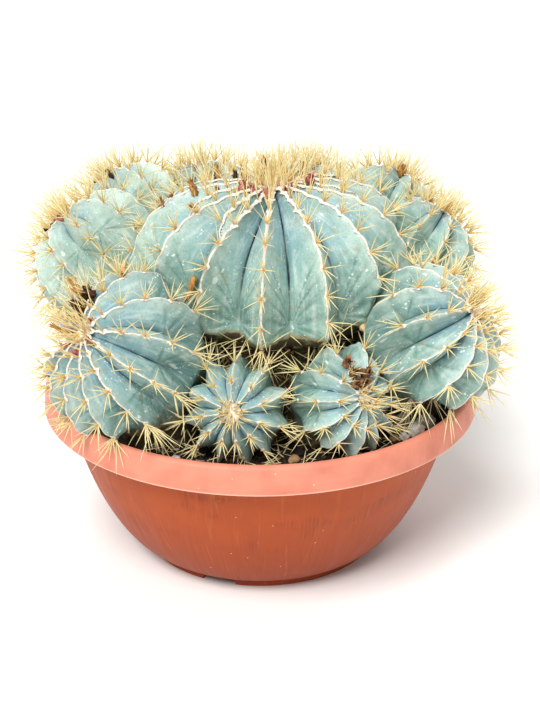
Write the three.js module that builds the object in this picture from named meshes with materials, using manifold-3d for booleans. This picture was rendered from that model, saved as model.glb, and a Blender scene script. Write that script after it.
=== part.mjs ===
// A clump of round barrel cactus in a moulded bowl: one big head with thirteen smaller ones round it.
// Millimetres, +Z up, front along -Y. The bowl's axis is the working origin until the last lines.
import * as THREE from "three";
import { mergeVertices } from "three/addons/utils/BufferGeometryUtils.js";
import Module from "manifold-3d";

const wasm = await Module();
wasm.setup();

// ---------- driving dimensions ----------

const GAP = 0.3; // clearance between pieces that touch
const AROUND = 40; // facets round the bowl and the soil

const POT = {
  rimRadius: 225, // outside of the rolled rim, at its lower edge
  rimLow: 157, // height of that edge
  rimTop: 185.5, // height of the rolled top
  lipRadius: 214.7, // inside of the rolled top
  rimTaper: 2.5, // how much the rim band narrows upwards
  wallRadius: 200, // outside of the wall where it meets the rim
  baseRadius: 122.5, // outside of the wall just above the foot
  footRadius: 125,
  footWidth: 11,
  footHeight: 7,
  thickness: 3.5,
  wallLean: 1.31, // exponents of the bowl's curve
  wallRound: 1.69,
};
const NOTCH = { count: 4, width: 33, first: -19.8 }; // degrees from the front, towards +X
const DRAIN = { count: 6, radius: 6, circle: 72 };

const SOIL = { level: 166, mound: 5, swell: 2.5, rings: [60, 115, 165] };

const RIB = {
  depth: 0.29, // groove depth as a share of the radius, at the widest level
  crownDepth: 0.55, // the same where the ribs meet at the crown
  rising: 1.8, // exponent: how late the groove changes from one to the other
  flare: 1.15, // how fast the grooves run out below the widest level
  dip: 0.2, // how far a groove also sinks along the axis
};
const SPINE = { length: 30, step: 4, shortest: 12, clearance: 2 };
const FELT = { width: 4.4, height: 1.7, areole: 4.4, lift: 0.95 };
const TUFT = { spread: 0.11, height: 5, spikes: 5, spikeRadius: 1.3, spikeLength: 26, spikeLean: 0.45 };

// Each head: centre of its widest level, where its neck enters the soil, azimuth and elevation of its axis
// in degrees, ridge radius at the widest level, rise of the crown above it, ribs, angle of the first rib.
// Then: rows of facets on the dome, flanks (facets from ridge to groove), exponents of the dome's outline
// (shoulder, brow), the neck's radius as a share of the head's, and the length of the chin as such a share.
const HEADS = [
  { name: "main", at: [14, 0, 284], root: [14, 4], azimuth: 90, elevation: 89.9, radius: 142, rise: 104,
    ribs: 13, spin: 85.7, rows: 7, flanks: 2, shoulder: 0.69, brow: 0.74, neck: 0.62, chin: 0.22 },
  { name: "left_front", at: [-129, -118, 252], root: [-104, -82], azimuth: 221, elevation: 39, radius: 84,
    rise: 60, ribs: 12, spin: 91, rows: 4, shoulder: 0.83, brow: 0.97 },
  { name: "right_front", at: [164, -82, 253], root: [150, -40], azimuth: -23, elevation: 40.5, radius: 75,
    rise: 61, ribs: 12, spin: 333, rows: 4, shoulder: 0.82, brow: 0.79, neck: 0.5 },
  { name: "left_back", at: [-170, 58, 294], root: [-124, 24], azimuth: 158, elevation: 41, radius: 72,
    rise: 54, ribs: 11, spin: 37, rows: 4, neck: 0.78, chin: 0.7 },
  { name: "right_back", at: [172, 95, 290], root: [136, 56], azimuth: 26, elevation: 51, radius: 60,
    rise: 44, ribs: 11, spin: 196, neck: 0.8, chin: 0.7 },
  { name: "back_left", at: [-140, 128, 312], root: [-104, 88], azimuth: 142, elevation: 46, radius: 62,
    rise: 50, ribs: 11, spin: 173, neck: 0.8, chin: 0.7 },
  { name: "back_right", at: [135, 150, 308], root: [92, 112], azimuth: 48, elevation: 50, radius: 58,
    rise: 48, ribs: 11, spin: 10, neck: 0.84, chin: 0.7 },
  { name: "back_mid_left", at: [-62, 182, 298], root: [-44, 128], azimuth: 108, elevation: 52, radius: 64,
    rise: 54, ribs: 12, spin: 20, neck: 0.84, chin: 0.7 },
  { name: "back_mid_right", at: [50, 188, 296], root: [30, 128], azimuth: 78, elevation: 52, radius: 62,
    rise: 54, ribs: 12, spin: 5, neck: 0.84, chin: 0.7 },
  { name: "front_left_pup", at: [-22, -153, 212], root: [-17, -118], azimuth: 264, elevation: 21, radius: 53,
    rise: 38, ribs: 11, spin: 317.5 },
  { name: "front_right_pup", at: [83, -138, 216], root: [74, -104], azimuth: 305, elevation: 22, radius: 55,
    rise: 32, ribs: 12, spin: 344 },
  { name: "back_pup", at: [-6, 181, 208], root: [-6, 154], azimuth: 92, elevation: 32, radius: 46,
    rise: 33, ribs: 10, spin: 8 },
  { name: "left_pup", at: [-171, 62, 207], root: [-150, 54], azimuth: 162, elevation: 30, radius: 42,
    rise: 31, ribs: 10, spin: 0 },
  { name: "right_pup", at: [179, 18, 209], root: [158, 14], azimuth: 5, elevation: 34, radius: 44,
    rise: 32, ribs: 10, spin: 15 },
].map((head) => ({ rows: 3, flanks: 1, shoulder: 0.8, brow: 0.85, neck: 0.72, chin: 0.5, ...head }));

// Ribs that lean aside from an even round, by number: degrees at the crown and at the widest level.
const LEANS = {
  main: { 1: [-5, -2], 2: [-6, 1], 3: [-4, 2], 4: [11, 8], 10: [-12, 0], 11: [8, 3], 12: [15, -1] },
  left_front: { 0: [16, 1], 4: [20, 5], 5: [7, 6], 6: [2, 2], 8: [-9, -5], 9: [-12, -8], 10: [-11, -9],
    11: [2, -8] },
  right_front: { 5: [-6, 3], 6: [6, 0], 7: [10, -1], 8: [5, -2], 9: [-2, -2], 10: [-8, -1] },
  front_left_pup: { 0: [-10, -7], 1: [-12, -4], 2: [-10, 0], 3: [-4, 1], 4: [6, 0], 5: [9, 0], 6: [2, 7],
    7: [4, 8], 8: [3, 8], 9: [0, 3], 10: [-8, 3] },
  front_right_pup: { 0: [-14, 1], 1: [-9, -10], 2: [-2, -3], 3: [-8, -7], 4: [8, -1], 5: [-1, 4], 6: [10, 3],
    7: [10, 5], 8: [8, 0], 9: [8, 1] },
};

// Stones on the soil: place, size and turn.
const STONES = [
  { name: "grey_stone_large", at: [140, -92], size: [11, 8, 7], turn: 0.4, colour: 0x9a9794 },
  { name: "grey_stone_small", at: [154, -101], size: [8, 7, 5], turn: 1.9, colour: 0x8d8a88 },
  { name: "pale_stone", at: [128, -110], size: [6, 5, 4], turn: 2.6, colour: 0xb5b0aa },
  { name: "brown_pebble", at: [33, -177], size: [8, 5, 4.5], turn: 0.9, colour: 0x9c7a55 },
  { name: "perlite_grain", at: [-80, -166], size: [5, 4, 4], turn: 0.2, colour: 0xd9d6d0 },
];

// Withered flowers: place round the head counted in ribs, level as in surfacePoint, length and mouth radius.
const FLOWERS = [
  { name: "withered_flower_main_left", head: "main", rib: 10.42, level: 0.52, length: 18, width: 5 },
  { name: "withered_flower_main_upper", head: "main", rib: 10.3, level: 0.28, length: 16, width: 4 },
  { name: "withered_flower_main_back", head: "main", rib: 8.4, level: 0.28, length: 19, width: 4.5 },
  { name: "withered_flower_left_front", head: "left_front", rib: 1.5, level: 0.4, length: 20, width: 5.5 },
  { name: "withered_flower_front_right_pup", head: "front_right_pup", rib: 3.5, level: 0.3, length: 16,
    width: 5 },
];

const COLOURS = {
  pot: 0xc2673f,
  soil: 0x2e211b,
  stem: 0x8db5ab,
  spines: 0xe3cd8c,
  flower: 0x7d5a3a,
};

// ---------- solids ----------

const UP = new THREE.Vector3(0, 0, 1);

function solidOf(geometry) {
  const bare = new THREE.BufferGeometry().setAttribute("position", geometry.getAttribute("position"));
  if (geometry.index) bare.setIndex(geometry.index);
  const merged = mergeVertices(bare, 1e-3);
  return new wasm.Manifold(
    new wasm.Mesh({
      numProp: 3,
      vertProperties: merged.attributes.position.array,
      triVerts: new Uint32Array(merged.index.array),
    }),
  );
}

function solidFrom(points, faces) {
  const vertProperties = new Float32Array(points.flatMap((p) => [p.x, p.y, p.z]));
  const triVerts = new Uint32Array(faces.flat());
  return new wasm.Manifold(new wasm.Mesh({ numProp: 3, vertProperties, triVerts }));
}

function geometryOf(solid) {
  const mesh = solid.getMesh();
  const geometry = new THREE.BufferGeometry();
  geometry.setAttribute("position", new THREE.BufferAttribute(new Float32Array(mesh.vertProperties), 3));
  geometry.setIndex(new THREE.BufferAttribute(new Uint32Array(mesh.triVerts), 1));
  const flat = geometry.toNonIndexed();
  flat.computeVertexNormals();
  return flat;
}

// The biggest body of a solid, so that a cut leaves no loose crumbs.
function biggest(solid) {
  return solid.decompose().sort((a, b) => b.volume() - a.volume())[0];
}

function addMesh(group, name, solid, colour, roughness) {
  const material = new THREE.MeshStandardMaterial({ color: colour, roughness, metalness: 0 });
  const mesh = new THREE.Mesh(geometryOf(solid), material);
  mesh.name = name;
  group.add(mesh);
}

// A lathe about +Z from a closed list of [radius, height], given upwards along the outside.
function lathe(profile) {
  const points = [...profile, profile[0]].map(([r, z]) => new THREE.Vector2(r, z));
  const geometry = new THREE.LatheGeometry(points, AROUND);
  return solidOf(geometry.rotateX(Math.PI / 2));
}

// ---------- bowl and soil ----------

// Outside radius of the bowl's wall, from the foot up to the rim.
function wallAt(z) {
  const share = (z - POT.footHeight) / (POT.rimLow - POT.footHeight);
  const curve = (1 - (1 - share) ** POT.wallLean) ** (1 / POT.wallRound);
  return POT.baseRadius + (POT.wallRadius - POT.baseRadius) * curve;
}

const WALL_LEVELS = [POT.footHeight, 12, 25, 50, 90, POT.rimLow];

// Inside of the bowl from its floor to the lip, as [radius, height].
function innerLine() {
  const floor = POT.footHeight + POT.thickness;
  const wall = WALL_LEVELS.slice(1).map((z) => [wallAt(z) - POT.thickness, Math.max(z, floor)]);
  return [...wall, [POT.lipRadius - 3.5, POT.rimTop - 5]];
}

function potBody() {
  const { rimRadius, rimLow, rimTop, lipRadius, rimTaper, thickness } = POT;
  const { footRadius, footWidth, footHeight } = POT;
  const foot = [[0, footHeight], [footRadius - footWidth, footHeight], [footRadius - footWidth + 1, 0],
    [footRadius - 0.5, 0], [footRadius, footHeight - 0.5]];
  const wall = WALL_LEVELS.map((z) => [wallAt(z), z]);
  const channel = [[lipRadius - 2, rimTop - 8], [lipRadius + 1.5, rimTop - 4], [lipRadius + 4.5, rimTop - 4],
    [rimRadius - thickness - 1, rimTop - 8], [rimRadius - thickness, rimLow]];
  const narrow = rimRadius - rimTaper;
  const band = [[rimRadius, rimLow], [rimRadius - 0.4 * rimTaper, rimLow + 14], [narrow, rimTop - 4.5],
    [narrow - 2.4, rimTop - 0.9], [narrow - 5, rimTop], [lipRadius, rimTop - 0.8]];
  const inside = [...innerLine().reverse(), [0, footHeight + thickness]];
  return lathe([...foot, ...wall, ...channel, ...band, ...inside]);
}

// The room the rim and the upper wall take up, a gap wider all round: stems that lean on it are cut back.
function rimRoom() {
  const { rimRadius, rimLow, rimTop, lipRadius } = POT;
  const inside = innerLine().slice(-3).reverse().map(([r, z]) => [r - GAP, z]);
  const low = inside.at(-1)[1];
  const over = [[rimRadius + GAP, low], [rimRadius + GAP, rimLow], [rimRadius - 2, rimTop + GAP],
    [lipRadius - 0.5, rimTop + GAP]];
  return lathe([...over, ...inside]);
}

function notches() {
  const inward = POT.footRadius - POT.footWidth / 2;
  return Array.from({ length: NOTCH.count }, (_, i) => {
    const turn = NOTCH.first + (i * 360) / NOTCH.count;
    return wasm.Manifold.cube([NOTCH.width, 2.4 * POT.footWidth, 2 * POT.footHeight], true)
      .translate([0, -inward, 0])
      .rotate([0, 0, turn]);
  });
}

function drains() {
  return Array.from({ length: DRAIN.count }, (_, i) =>
    wasm.Manifold.cylinder(4 * POT.footHeight, DRAIN.radius, DRAIN.radius, 12, true)
      .translate([DRAIN.circle, 0, 0])
      .rotate([0, 0, (i * 360) / DRAIN.count]),
  );
}

function soilHeight(x, y) {
  const dome = SOIL.mound * (1 - (x * x + y * y) / 205 ** 2);
  return SOIL.level + dome + SOIL.swell * Math.sin(x / 31 + 1) * Math.cos(y / 26);
}

// The soil fills the bowl to just under the rim. lift makes it larger, for cutting what stands in it.
function soilBody(lift) {
  const low = innerLine().filter(([, z]) => z < POT.rimLow - 5);
  const [outer, next] = innerLine().slice(-2);
  const share = (SOIL.level - SOIL.swell - outer[1]) / (next[1] - outer[1]);
  const edge = outer[0] + share * (next[0] - outer[0]);
  const side = [...low, outer, [edge, SOIL.level]].map(([r, z]) => [r - GAP + lift, z]);
  side[0][1] += GAP;
  const top = [...SOIL.rings].reverse().map((r) => [r, SOIL.level]);
  const floor = side[0][1];
  const points = [[0, floor], ...side, ...top, [0, SOIL.level]].map(([r, z]) => new THREE.Vector2(r, z));
  const geometry = new THREE.LatheGeometry(points, AROUND).rotateX(Math.PI / 2);
  const position = geometry.getAttribute("position");
  for (let i = 0; i < position.count; i++) {
    if (position.getZ(i) < SOIL.level - 0.01) continue;
    position.setZ(i, soilHeight(position.getX(i), position.getY(i)) + lift);
  }
  return solidOf(geometry);
}

// ---------- heads ----------

const radians = THREE.MathUtils.degToRad;

// Axis of the dome, and a level direction across it.
function frameOf(head) {
  const a = radians(head.azimuth);
  const e = radians(head.elevation);
  const axis = new THREE.Vector3(Math.cos(e) * Math.cos(a), Math.cos(e) * Math.sin(a), Math.sin(e));
  const side = new THREE.Vector3().crossVectors(UP, axis).normalize();
  return { centre: new THREE.Vector3(...head.at), axis, side };
}

// How deep in a head a point lies: 0 at its centre, 1 on its ridges.
function depthIn(head, point) {
  const { centre, axis } = frameOf(head);
  const from = point.clone().sub(centre);
  const along = from.dot(axis);
  const across = Math.sqrt(Math.max(from.lengthSq() - along * along, 0));
  const rise = along > 0 ? head.rise : 0.9 * head.radius;
  return Math.hypot(across / head.radius, along / rise);
}

// Heads that press on one another share the room: a point nearer to another head is drawn back.
function pressed(head, point) {
  const centre = new THREE.Vector3(...head.at);
  const others = HEADS.filter((other) => other !== head && depthIn(other, point) < 1);
  const free = (p) => others.every((other) => depthIn(other, p) > depthIn(head, p) + 0.01);
  if (free(point)) return point;
  let near = 0;
  let far = 1;
  for (let i = 0; i < 12; i++) {
    const middle = (near + far) / 2;
    if (free(centre.clone().lerp(point, middle))) near = middle;
    else far = middle;
  }
  return centre.clone().lerp(point, near);
}

// The neck's middle line bends from the widest level of the head down to its root.
function neckOf(head) {
  const { centre, axis } = frameOf(head);
  const root = new THREE.Vector3(...head.root, SOIL.level - 12);
  const bend = centre.clone().addScaledVector(axis, -0.45 * centre.distanceTo(root));
  return new THREE.QuadraticBezierCurve3(centre, bend, root);
}

// Distance below the widest level along the neck, counted in chins.
function chinsBelow(head, level) {
  return level > 1 ? (neckOf(head).getLength() * (level - 1)) / (head.chin * head.radius) : 0;
}

// Angle round the axis of a place counted in ribs.
function turnAt(head, level, rib) {
  const whole = Math.floor(rib);
  const part = rib - whole;
  const t = Math.min(level, 1);
  const [before, after] = [whole, whole + 1].map((number) => {
    const [top, low] = LEANS[head.name]?.[number % head.ribs] ?? [0, 0];
    return top * (1 - t) + low * t;
  });
  return radians(head.spin + before * (1 - part) + after * part) + (rib * 2 * Math.PI) / head.ribs;
}

// A point on a head: level 0 is the crown, 1 the widest level, 2 the base; rib is the place round it counted
// in ribs; cut is how far in from the ridge it lies, as a share of the radius.
function surfacePoint(head, level, rib, cut) {
  const { centre, axis, side } = frameOf(head);
  const spot = centre.clone();
  const lean = axis.clone();
  let radius = head.radius;
  if (level <= 1) {
    const tilt = (level * Math.PI) / 2;
    radius *= Math.sin(tilt) ** head.shoulder;
    spot.addScaledVector(axis, head.rise * Math.cos(tilt) ** head.brow * (1 - RIB.dip * cut));
  } else {
    const neck = neckOf(head);
    radius *= head.neck + (1 - head.neck) * Math.exp(-(chinsBelow(head, level) ** 3));
    neck.getPoint(level - 1, spot);
    neck.getTangent(level - 1, lean).negate();
  }
  const flatSide = side.clone().addScaledVector(lean, -side.dot(lean)).normalize();
  const across = new THREE.Vector3().crossVectors(lean, flatSide);
  const reach = radius * (1 - cut);
  const turn = turnAt(head, level, rib);
  spot.addScaledVector(flatSide, reach * Math.cos(turn));
  return spot.addScaledVector(across, reach * Math.sin(turn));
}

function grooveDepth(head, level) {
  const rising = Math.sin((Math.min(level, 1) * Math.PI) / 2) ** RIB.rising;
  const fading = Math.exp(-((RIB.flare * chinsBelow(head, level)) ** 2));
  return (RIB.crownDepth + (RIB.depth - RIB.crownDepth) * rising) * fading;
}

// How far in from the ridges the skin lies: flanks are flat from each ridge to its groove.
function cutAt(head, level, rib) {
  const share = 1 - Math.abs(2 * (rib - Math.floor(rib)) - 1);
  const half = Math.PI / head.ribs;
  const slope = (1 / (1 - grooveDepth(head, level)) - Math.cos(half)) / Math.sin(half);
  return 1 - 1 / (Math.cos(half * share) + slope * Math.sin(half * share));
}

// Levels of the rows of facets: areole rows on the dome, then the chin and the neck.
function levelsOf(head) {
  const dome = Array.from({ length: head.rows }, (_, i) => ((i + 1) / head.rows) ** 1.15);
  const chin = (head.chin * head.radius) / neckOf(head).getLength();
  return [...dome, 1 + 0.6 * chin, 1 + 1.5 * chin, 2].filter((level) => level <= 2);
}

// Moves a point of the stem's surface outwards: from the middle of the dome, or from the neck's line.
function grown(head, level, point, by) {
  const from = level <= 1.3 ? new THREE.Vector3(...head.at) : neckOf(head).getPoint(level - 1);
  return point.clone().add(point.clone().sub(from).setLength(by));
}

// One stem: a ring of facets for each level, a ridge, its groove and any flanks for each rib.
function stemBody(head, grow) {
  const levels = levelsOf(head);
  const columns = head.ribs * 2 * head.flanks;
  const points = [];
  for (const level of levels) {
    for (let c = 0; c < columns; c++) {
      const rib = c / (2 * head.flanks);
      const spot = pressed(head, surfacePoint(head, level, rib, cutAt(head, level, rib)));
      points.push(grow ? grown(head, level, spot, grow) : spot);
    }
  }
  const { centre, axis } = frameOf(head);
  const crown = points.push(centre.clone().addScaledVector(axis, 0.93 * head.rise + grow)) - 1;
  const base = points.push(surfacePoint(head, 2, 0, 1).addScaledVector(UP, -grow)) - 1;
  const faces = [];
  for (let c = 0; c < columns; c++) {
    const next = (c + 1) % columns;
    faces.push([crown, c, next]);
    for (let r = 0; r + 1 < levels.length; r++) {
      const [a, b] = [r * columns + c, r * columns + next];
      faces.push([a, a + columns, b + columns], [a, b + columns, b]);
    }
    const last = (levels.length - 1) * columns;
    faces.push([base, last + next, last + c]);
  }
  return solidFrom(points, faces);
}

// ---------- felt and spines ----------

// Everything that later spines keep clear of: straight pieces with the room they need round them.
const placed = [];

// Shortest distance between two straight segments, close enough for keeping spines apart.
function segmentGap(a, b) {
  let least = Infinity;
  const along = new THREE.Line3(b.from, b.to);
  const nearest = new THREE.Vector3();
  for (let i = 0; i <= 8; i++) {
    const spot = a.from.clone().lerp(a.to, i / 8);
    along.closestPointToPoint(spot, true, nearest);
    least = Math.min(least, spot.distanceTo(nearest));
  }
  return least;
}

// Whether a point is clear of every other head, of the soil and of the bowl's rim.
function inTheOpen(head, point, margin) {
  const radius = Math.hypot(point.x, point.y);
  if (point.z < soilHeight(point.x, point.y) + 2) return false;
  if (point.z < POT.rimTop + 2 && radius > POT.lipRadius - 16 && radius < POT.rimRadius + 3) return false;
  return HEADS.every((other) => other === head || depthIn(other, point) > margin);
}

// Spines of one rib may meet at their foot; all others keep apart.
function spineFits(head, rib, from, to) {
  const spine = { from, to, head, rib, room: SPINE.clearance };
  const open = [0.35, 0.7, 1].every((share) => inTheOpen(head, from.clone().lerp(to, share), 1.05));
  const apart = placed.every(
    (other) => (other.head === head && other.rib === rib) || segmentGap(spine, other) > other.room,
  );
  if (open && apart) placed.push(spine);
  return open && apart;
}

// Places along one ridge, two for each areole: point, outward direction, direction round the head.
function ridgeStations(head, rib) {
  const { centre, axis } = frameOf(head);
  const rows = levelsOf(head).slice(0, head.rows + 1);
  const ridge = rows.map((level) => surfacePoint(head, level, rib, 0));
  const open = ridge.findIndex((spot) => !inTheOpen(head, spot, 1.12));
  const count = open < 0 ? ridge.length : open;
  const rounds = ridge.map((spot) => spot.clone().sub(centre).cross(axis).negate().normalize());
  const top = centre.clone().addScaledVector(axis, head.rise + FELT.lift);
  top.addScaledVector(new THREE.Vector3().crossVectors(rounds[0], axis), 0.075 * head.radius);
  const stations = [{ spot: top, out: axis.clone(), round: rounds[0] }];
  for (let i = 0; i + 1 < count; i++) {
    const before = i ? ridge[i - 1] : top;
    const step = Math.min(FELT.areole / 2, 0.3 * ridge[i].distanceTo(before));
    const chord = ridge[i + 1].clone().sub(before).normalize();
    const out = new THREE.Vector3().crossVectors(chord, rounds[i]).normalize();
    for (const target of [before, ridge[i + 1]]) {
      const toward = target.clone().sub(ridge[i]).normalize();
      const spot = ridge[i].clone().addScaledVector(toward, step).addScaledVector(out, FELT.lift);
      stations.push({ spot, out, round: rounds[i] });
    }
  }
  return stations;
}

// Felt strip along one ridge, with the spines drawn out of each areole.
function ribBody(head, rib) {
  const stations = ridgeStations(head, rib);
  if (stations.length < 3) return null;
  const points = stations.flatMap(({ spot, out, round }) => [
    spot.clone().addScaledVector(round, -FELT.width / 2),
    spot.clone().addScaledVector(round, FELT.width / 2),
    spot.clone().addScaledVector(out, FELT.height),
  ]);
  const faces = [[0, 2, 1]];
  const end = 3 * (stations.length - 1);
  faces.push([end, end + 1, end + 2]);
  for (let s = 0; s + 1 < stations.length; s++) {
    const [l, r, t] = [3 * s, 3 * s + 1, 3 * s + 2];
    const outer = [[t, l, l + 3], [t, l + 3, t + 3], [r, t, t + 3], [r, t + 3, r + 3]];
    faces.push([l, r, r + 3], [l, r + 3, l + 3]);
    if (s % 2 === 0) faces.push(...outer);
    else faces.push(...areoleSpines(head, rib, points, outer, stations[s], stations[s + 1]));
  }
  return solidFrom(points, faces);
}

// Turns each outer triangle of an areole into a spine where there is room for one.
function areoleSpines(head, rib, points, triangles, upper, lower) {
  const along = lower.spot.clone().sub(upper.spot).normalize();
  return triangles.flatMap((triangle, i) => {
    const corners = triangle.map((index) => points[index]);
    const foot = corners[0].clone().add(corners[1]).add(corners[2]).divideScalar(3);
    const aim = upper.out.clone().multiplyScalar(0.75);
    aim.addScaledVector(upper.round, i < 2 ? -0.5 : 0.5).addScaledVector(along, i % 3 ? 0.45 : -0.35);
    aim.normalize();
    for (let length = SPINE.length; length >= SPINE.shortest; length -= SPINE.step) {
      const tip = foot.clone().addScaledVector(aim, length);
      if (!spineFits(head, rib, foot, tip)) continue;
      const apex = points.push(tip) - 1;
      const [a, b, c] = triangle;
      return [[a, b, apex], [b, c, apex], [c, a, apex]];
    }
    return [triangle];
  });
}

// Woolly button on the crown, with a few upright spines.
function tuftBody(head) {
  const { centre, axis } = frameOf(head);
  const { height, spikes, spikeRadius, spikeLength, spikeLean } = TUFT;
  const base = TUFT.spread * head.radius;
  const button = new THREE.CylinderGeometry(0.6 * base, base, height, 8);
  const pieces = [solidOf(button.rotateX(Math.PI / 2).translate(0, 0, height / 2))];
  for (let i = 0; i < spikes; i++) {
    const spike = new THREE.ConeGeometry(spikeRadius, spikeLength, 3).rotateX(Math.PI / 2);
    spike.translate(0, 0, spikeLength / 2 + 2).rotateY(spikeLean);
    spike.translate(0.45 * base, 0, 0).rotateZ((i * 2 * Math.PI) / spikes);
    pieces.push(solidOf(spike));
  }
  const turned = new THREE.Quaternion().setFromUnitVectors(UP, axis);
  const matrix = new THREE.Matrix4().makeRotationFromQuaternion(turned);
  matrix.setPosition(centre.clone().addScaledVector(axis, head.rise + FELT.lift));
  return wasm.Manifold.union(pieces).transform(matrix.elements);
}

function spineBody(head) {
  const ribs = Array.from({ length: head.ribs }, (_, rib) => ribBody(head, rib));
  return wasm.Manifold.union([tuftBody(head), ...ribs.filter(Boolean)]);
}

// ---------- stones and withered flowers ----------

function stoneBody(stone) {
  const [x, y] = stone.at;
  const geometry = new THREE.IcosahedronGeometry(1, stone.size[0] > 8.5 ? 1 : 0).scale(...stone.size);
  geometry.rotateZ(stone.turn).translate(x, y, soilHeight(x, y) + 0.45 * stone.size[2]);
  return solidOf(geometry);
}

// Foot and tip of a withered flower: it stands out of the skin, leaning towards the crown.
function flowerLine(flower) {
  const head = HEADS.find(({ name }) => name === flower.head);
  const { centre, axis } = frameOf(head);
  const { rib, level } = flower;
  const from = surfacePoint(head, level, rib, cutAt(head, level, rib));
  const aim = from.clone().sub(centre).normalize().add(axis).normalize();
  return { from, to: from.clone().addScaledVector(aim, flower.length), room: flower.width + 1.5 };
}

// A shrivelled flower: a narrow tube that flares at its torn mouth.
function flowerBody(flower) {
  const { length, width } = flower;
  const waist = [0.5 * width, 0.62 * length];
  const profile = [[0, 0], [0.7 * width, 0], waist, [width, length], [0, 0.82 * length]];
  const outline = profile.map(([r, z]) => new THREE.Vector2(r, z));
  const geometry = new THREE.LatheGeometry(outline, 6).rotateX(Math.PI / 2);
  const { from, to } = flowerLine(flower);
  const turned = new THREE.Quaternion().setFromUnitVectors(UP, to.sub(from).normalize());
  const matrix = new THREE.Matrix4().makeRotationFromQuaternion(turned).setPosition(from);
  return solidOf(geometry.applyMatrix4(matrix));
}

// ---------- assembly ----------

function build() {
  const plant = new THREE.Group();
  const pot = potBody().subtract(wasm.Manifold.union([...notches(), ...drains()]));
  const soil = soilBody(0);
  const raised = soilBody(GAP);
  addMesh(plant, "pot", pot, COLOURS.pot, 0.55);
  addMesh(plant, "soil", soil, COLOURS.soil, 1);

  const cutters = [raised, rimRoom()];
  for (const head of HEADS) {
    const stem = biggest(stemBody(head, 0).subtract(wasm.Manifold.union(cutters)));
    cutters.push(stemBody(head, 2 * GAP));
    addMesh(plant, `stem_${head.name}`, stem, COLOURS.stem, 0.7);
  }
  const taken = wasm.Manifold.union([raised, rimRoom(), ...HEADS.map((head) => stemBody(head, GAP))]);
  placed.push(...FLOWERS.map(flowerLine));
  for (const head of HEADS) {
    addMesh(plant, `spines_${head.name}`, biggest(spineBody(head).subtract(taken)), COLOURS.spines, 0.6);
  }
  for (const flower of FLOWERS) {
    addMesh(plant, flower.name, biggest(flowerBody(flower).subtract(taken)), COLOURS.flower, 0.9);
  }
  for (const stone of STONES) {
    addMesh(plant, stone.name, biggest(stoneBody(stone).subtract(taken)), stone.colour, 0.9);
  }
  return plant;
}

// The finished part stands with the middle of its footprint box on the origin.
const plant = build();
const box = new THREE.Box3().setFromObject(plant);
const middle = box.getCenter(new THREE.Vector3());
plant.position.set(-middle.x, -middle.y, 0);

export default plant;
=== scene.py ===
"""Looks of a potted clump of round barrel cactus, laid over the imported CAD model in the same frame.

Sizes of the plant and the bowl are in millimetres about the bowl's axis, as in the part's source, and are
turned to metres in the row's frame when a mesh is made.
"""

import logging
import math
from dataclasses import dataclass, field
from enum import Enum
from functools import partial
from typing import Any

import bpy
import numpy as np
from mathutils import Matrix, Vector


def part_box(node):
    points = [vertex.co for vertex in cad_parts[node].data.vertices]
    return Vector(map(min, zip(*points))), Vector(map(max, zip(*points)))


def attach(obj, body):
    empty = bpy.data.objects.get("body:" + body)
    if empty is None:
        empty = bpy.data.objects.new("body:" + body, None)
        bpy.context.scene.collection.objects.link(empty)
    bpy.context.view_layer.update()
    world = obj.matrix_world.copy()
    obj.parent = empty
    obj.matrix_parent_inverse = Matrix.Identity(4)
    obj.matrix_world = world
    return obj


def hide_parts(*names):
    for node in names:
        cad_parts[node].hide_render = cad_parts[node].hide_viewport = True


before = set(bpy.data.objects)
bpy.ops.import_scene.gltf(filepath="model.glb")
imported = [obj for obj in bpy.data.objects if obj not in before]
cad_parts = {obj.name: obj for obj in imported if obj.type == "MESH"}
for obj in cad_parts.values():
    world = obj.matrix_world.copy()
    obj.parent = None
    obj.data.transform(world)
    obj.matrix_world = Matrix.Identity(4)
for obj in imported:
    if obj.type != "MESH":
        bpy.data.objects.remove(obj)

LOG = logging.getLogger("potted_cactus")
MM = 0.001
BODY = "root"
UP = np.array([0.0, 0.0, 1.0])
Array = np.ndarray


# ---------------------------------------------------------------- small helpers


def linear(code: str) -> tuple[float, float, float, float]:
    """Turns an sRGB hex value into linear RGBA.

    Args:
        code: Six hex digits with a leading hash.

    Returns:
        The linear colour with full alpha.
    """
    parts = [int(code[i : i + 2], 16) / 255 for i in (1, 3, 5)]
    values = [c / 12.92 if c <= 0.04045 else ((c + 0.055) / 1.055) ** 2.4 for c in parts]
    return (values[0], values[1], values[2], 1.0)


def per_mm(size: float) -> float:
    """Texture scale whose pattern repeats about every size millimetres, in object coordinates."""
    return 1 / (size * MM)


def unit(vectors: Array) -> Array:
    """Vectors at length one, along the last axis."""
    return vectors / np.maximum(np.linalg.norm(vectors, axis=-1, keepdims=True), 1e-9)


class Waves:
    """Smooth seeded noise: a sum of sine waves in random directions, between about -1 and 1."""

    def __init__(self, seed: int, size: float, count: int = 9) -> None:
        """Draws the waves.

        Args:
            seed: Seed of the random directions and phases.
            size: Typical length of a swell, in the unit of the points.
            count: How many waves are added.
        """
        rng = np.random.default_rng(seed)
        directions = unit(rng.normal(size=(count, 3)))
        self.turns = directions * rng.uniform(0.6, 1.5, (count, 1)) * 2 * math.pi / size
        self.phases = rng.uniform(0, 2 * math.pi, count)

    def at(self, points: Array) -> Array:
        """Noise value at each point."""
        waves = np.sin(points @ self.turns.T + self.phases)
        return waves.sum(axis=-1) / math.sqrt(len(self.phases)) * 0.8


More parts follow.
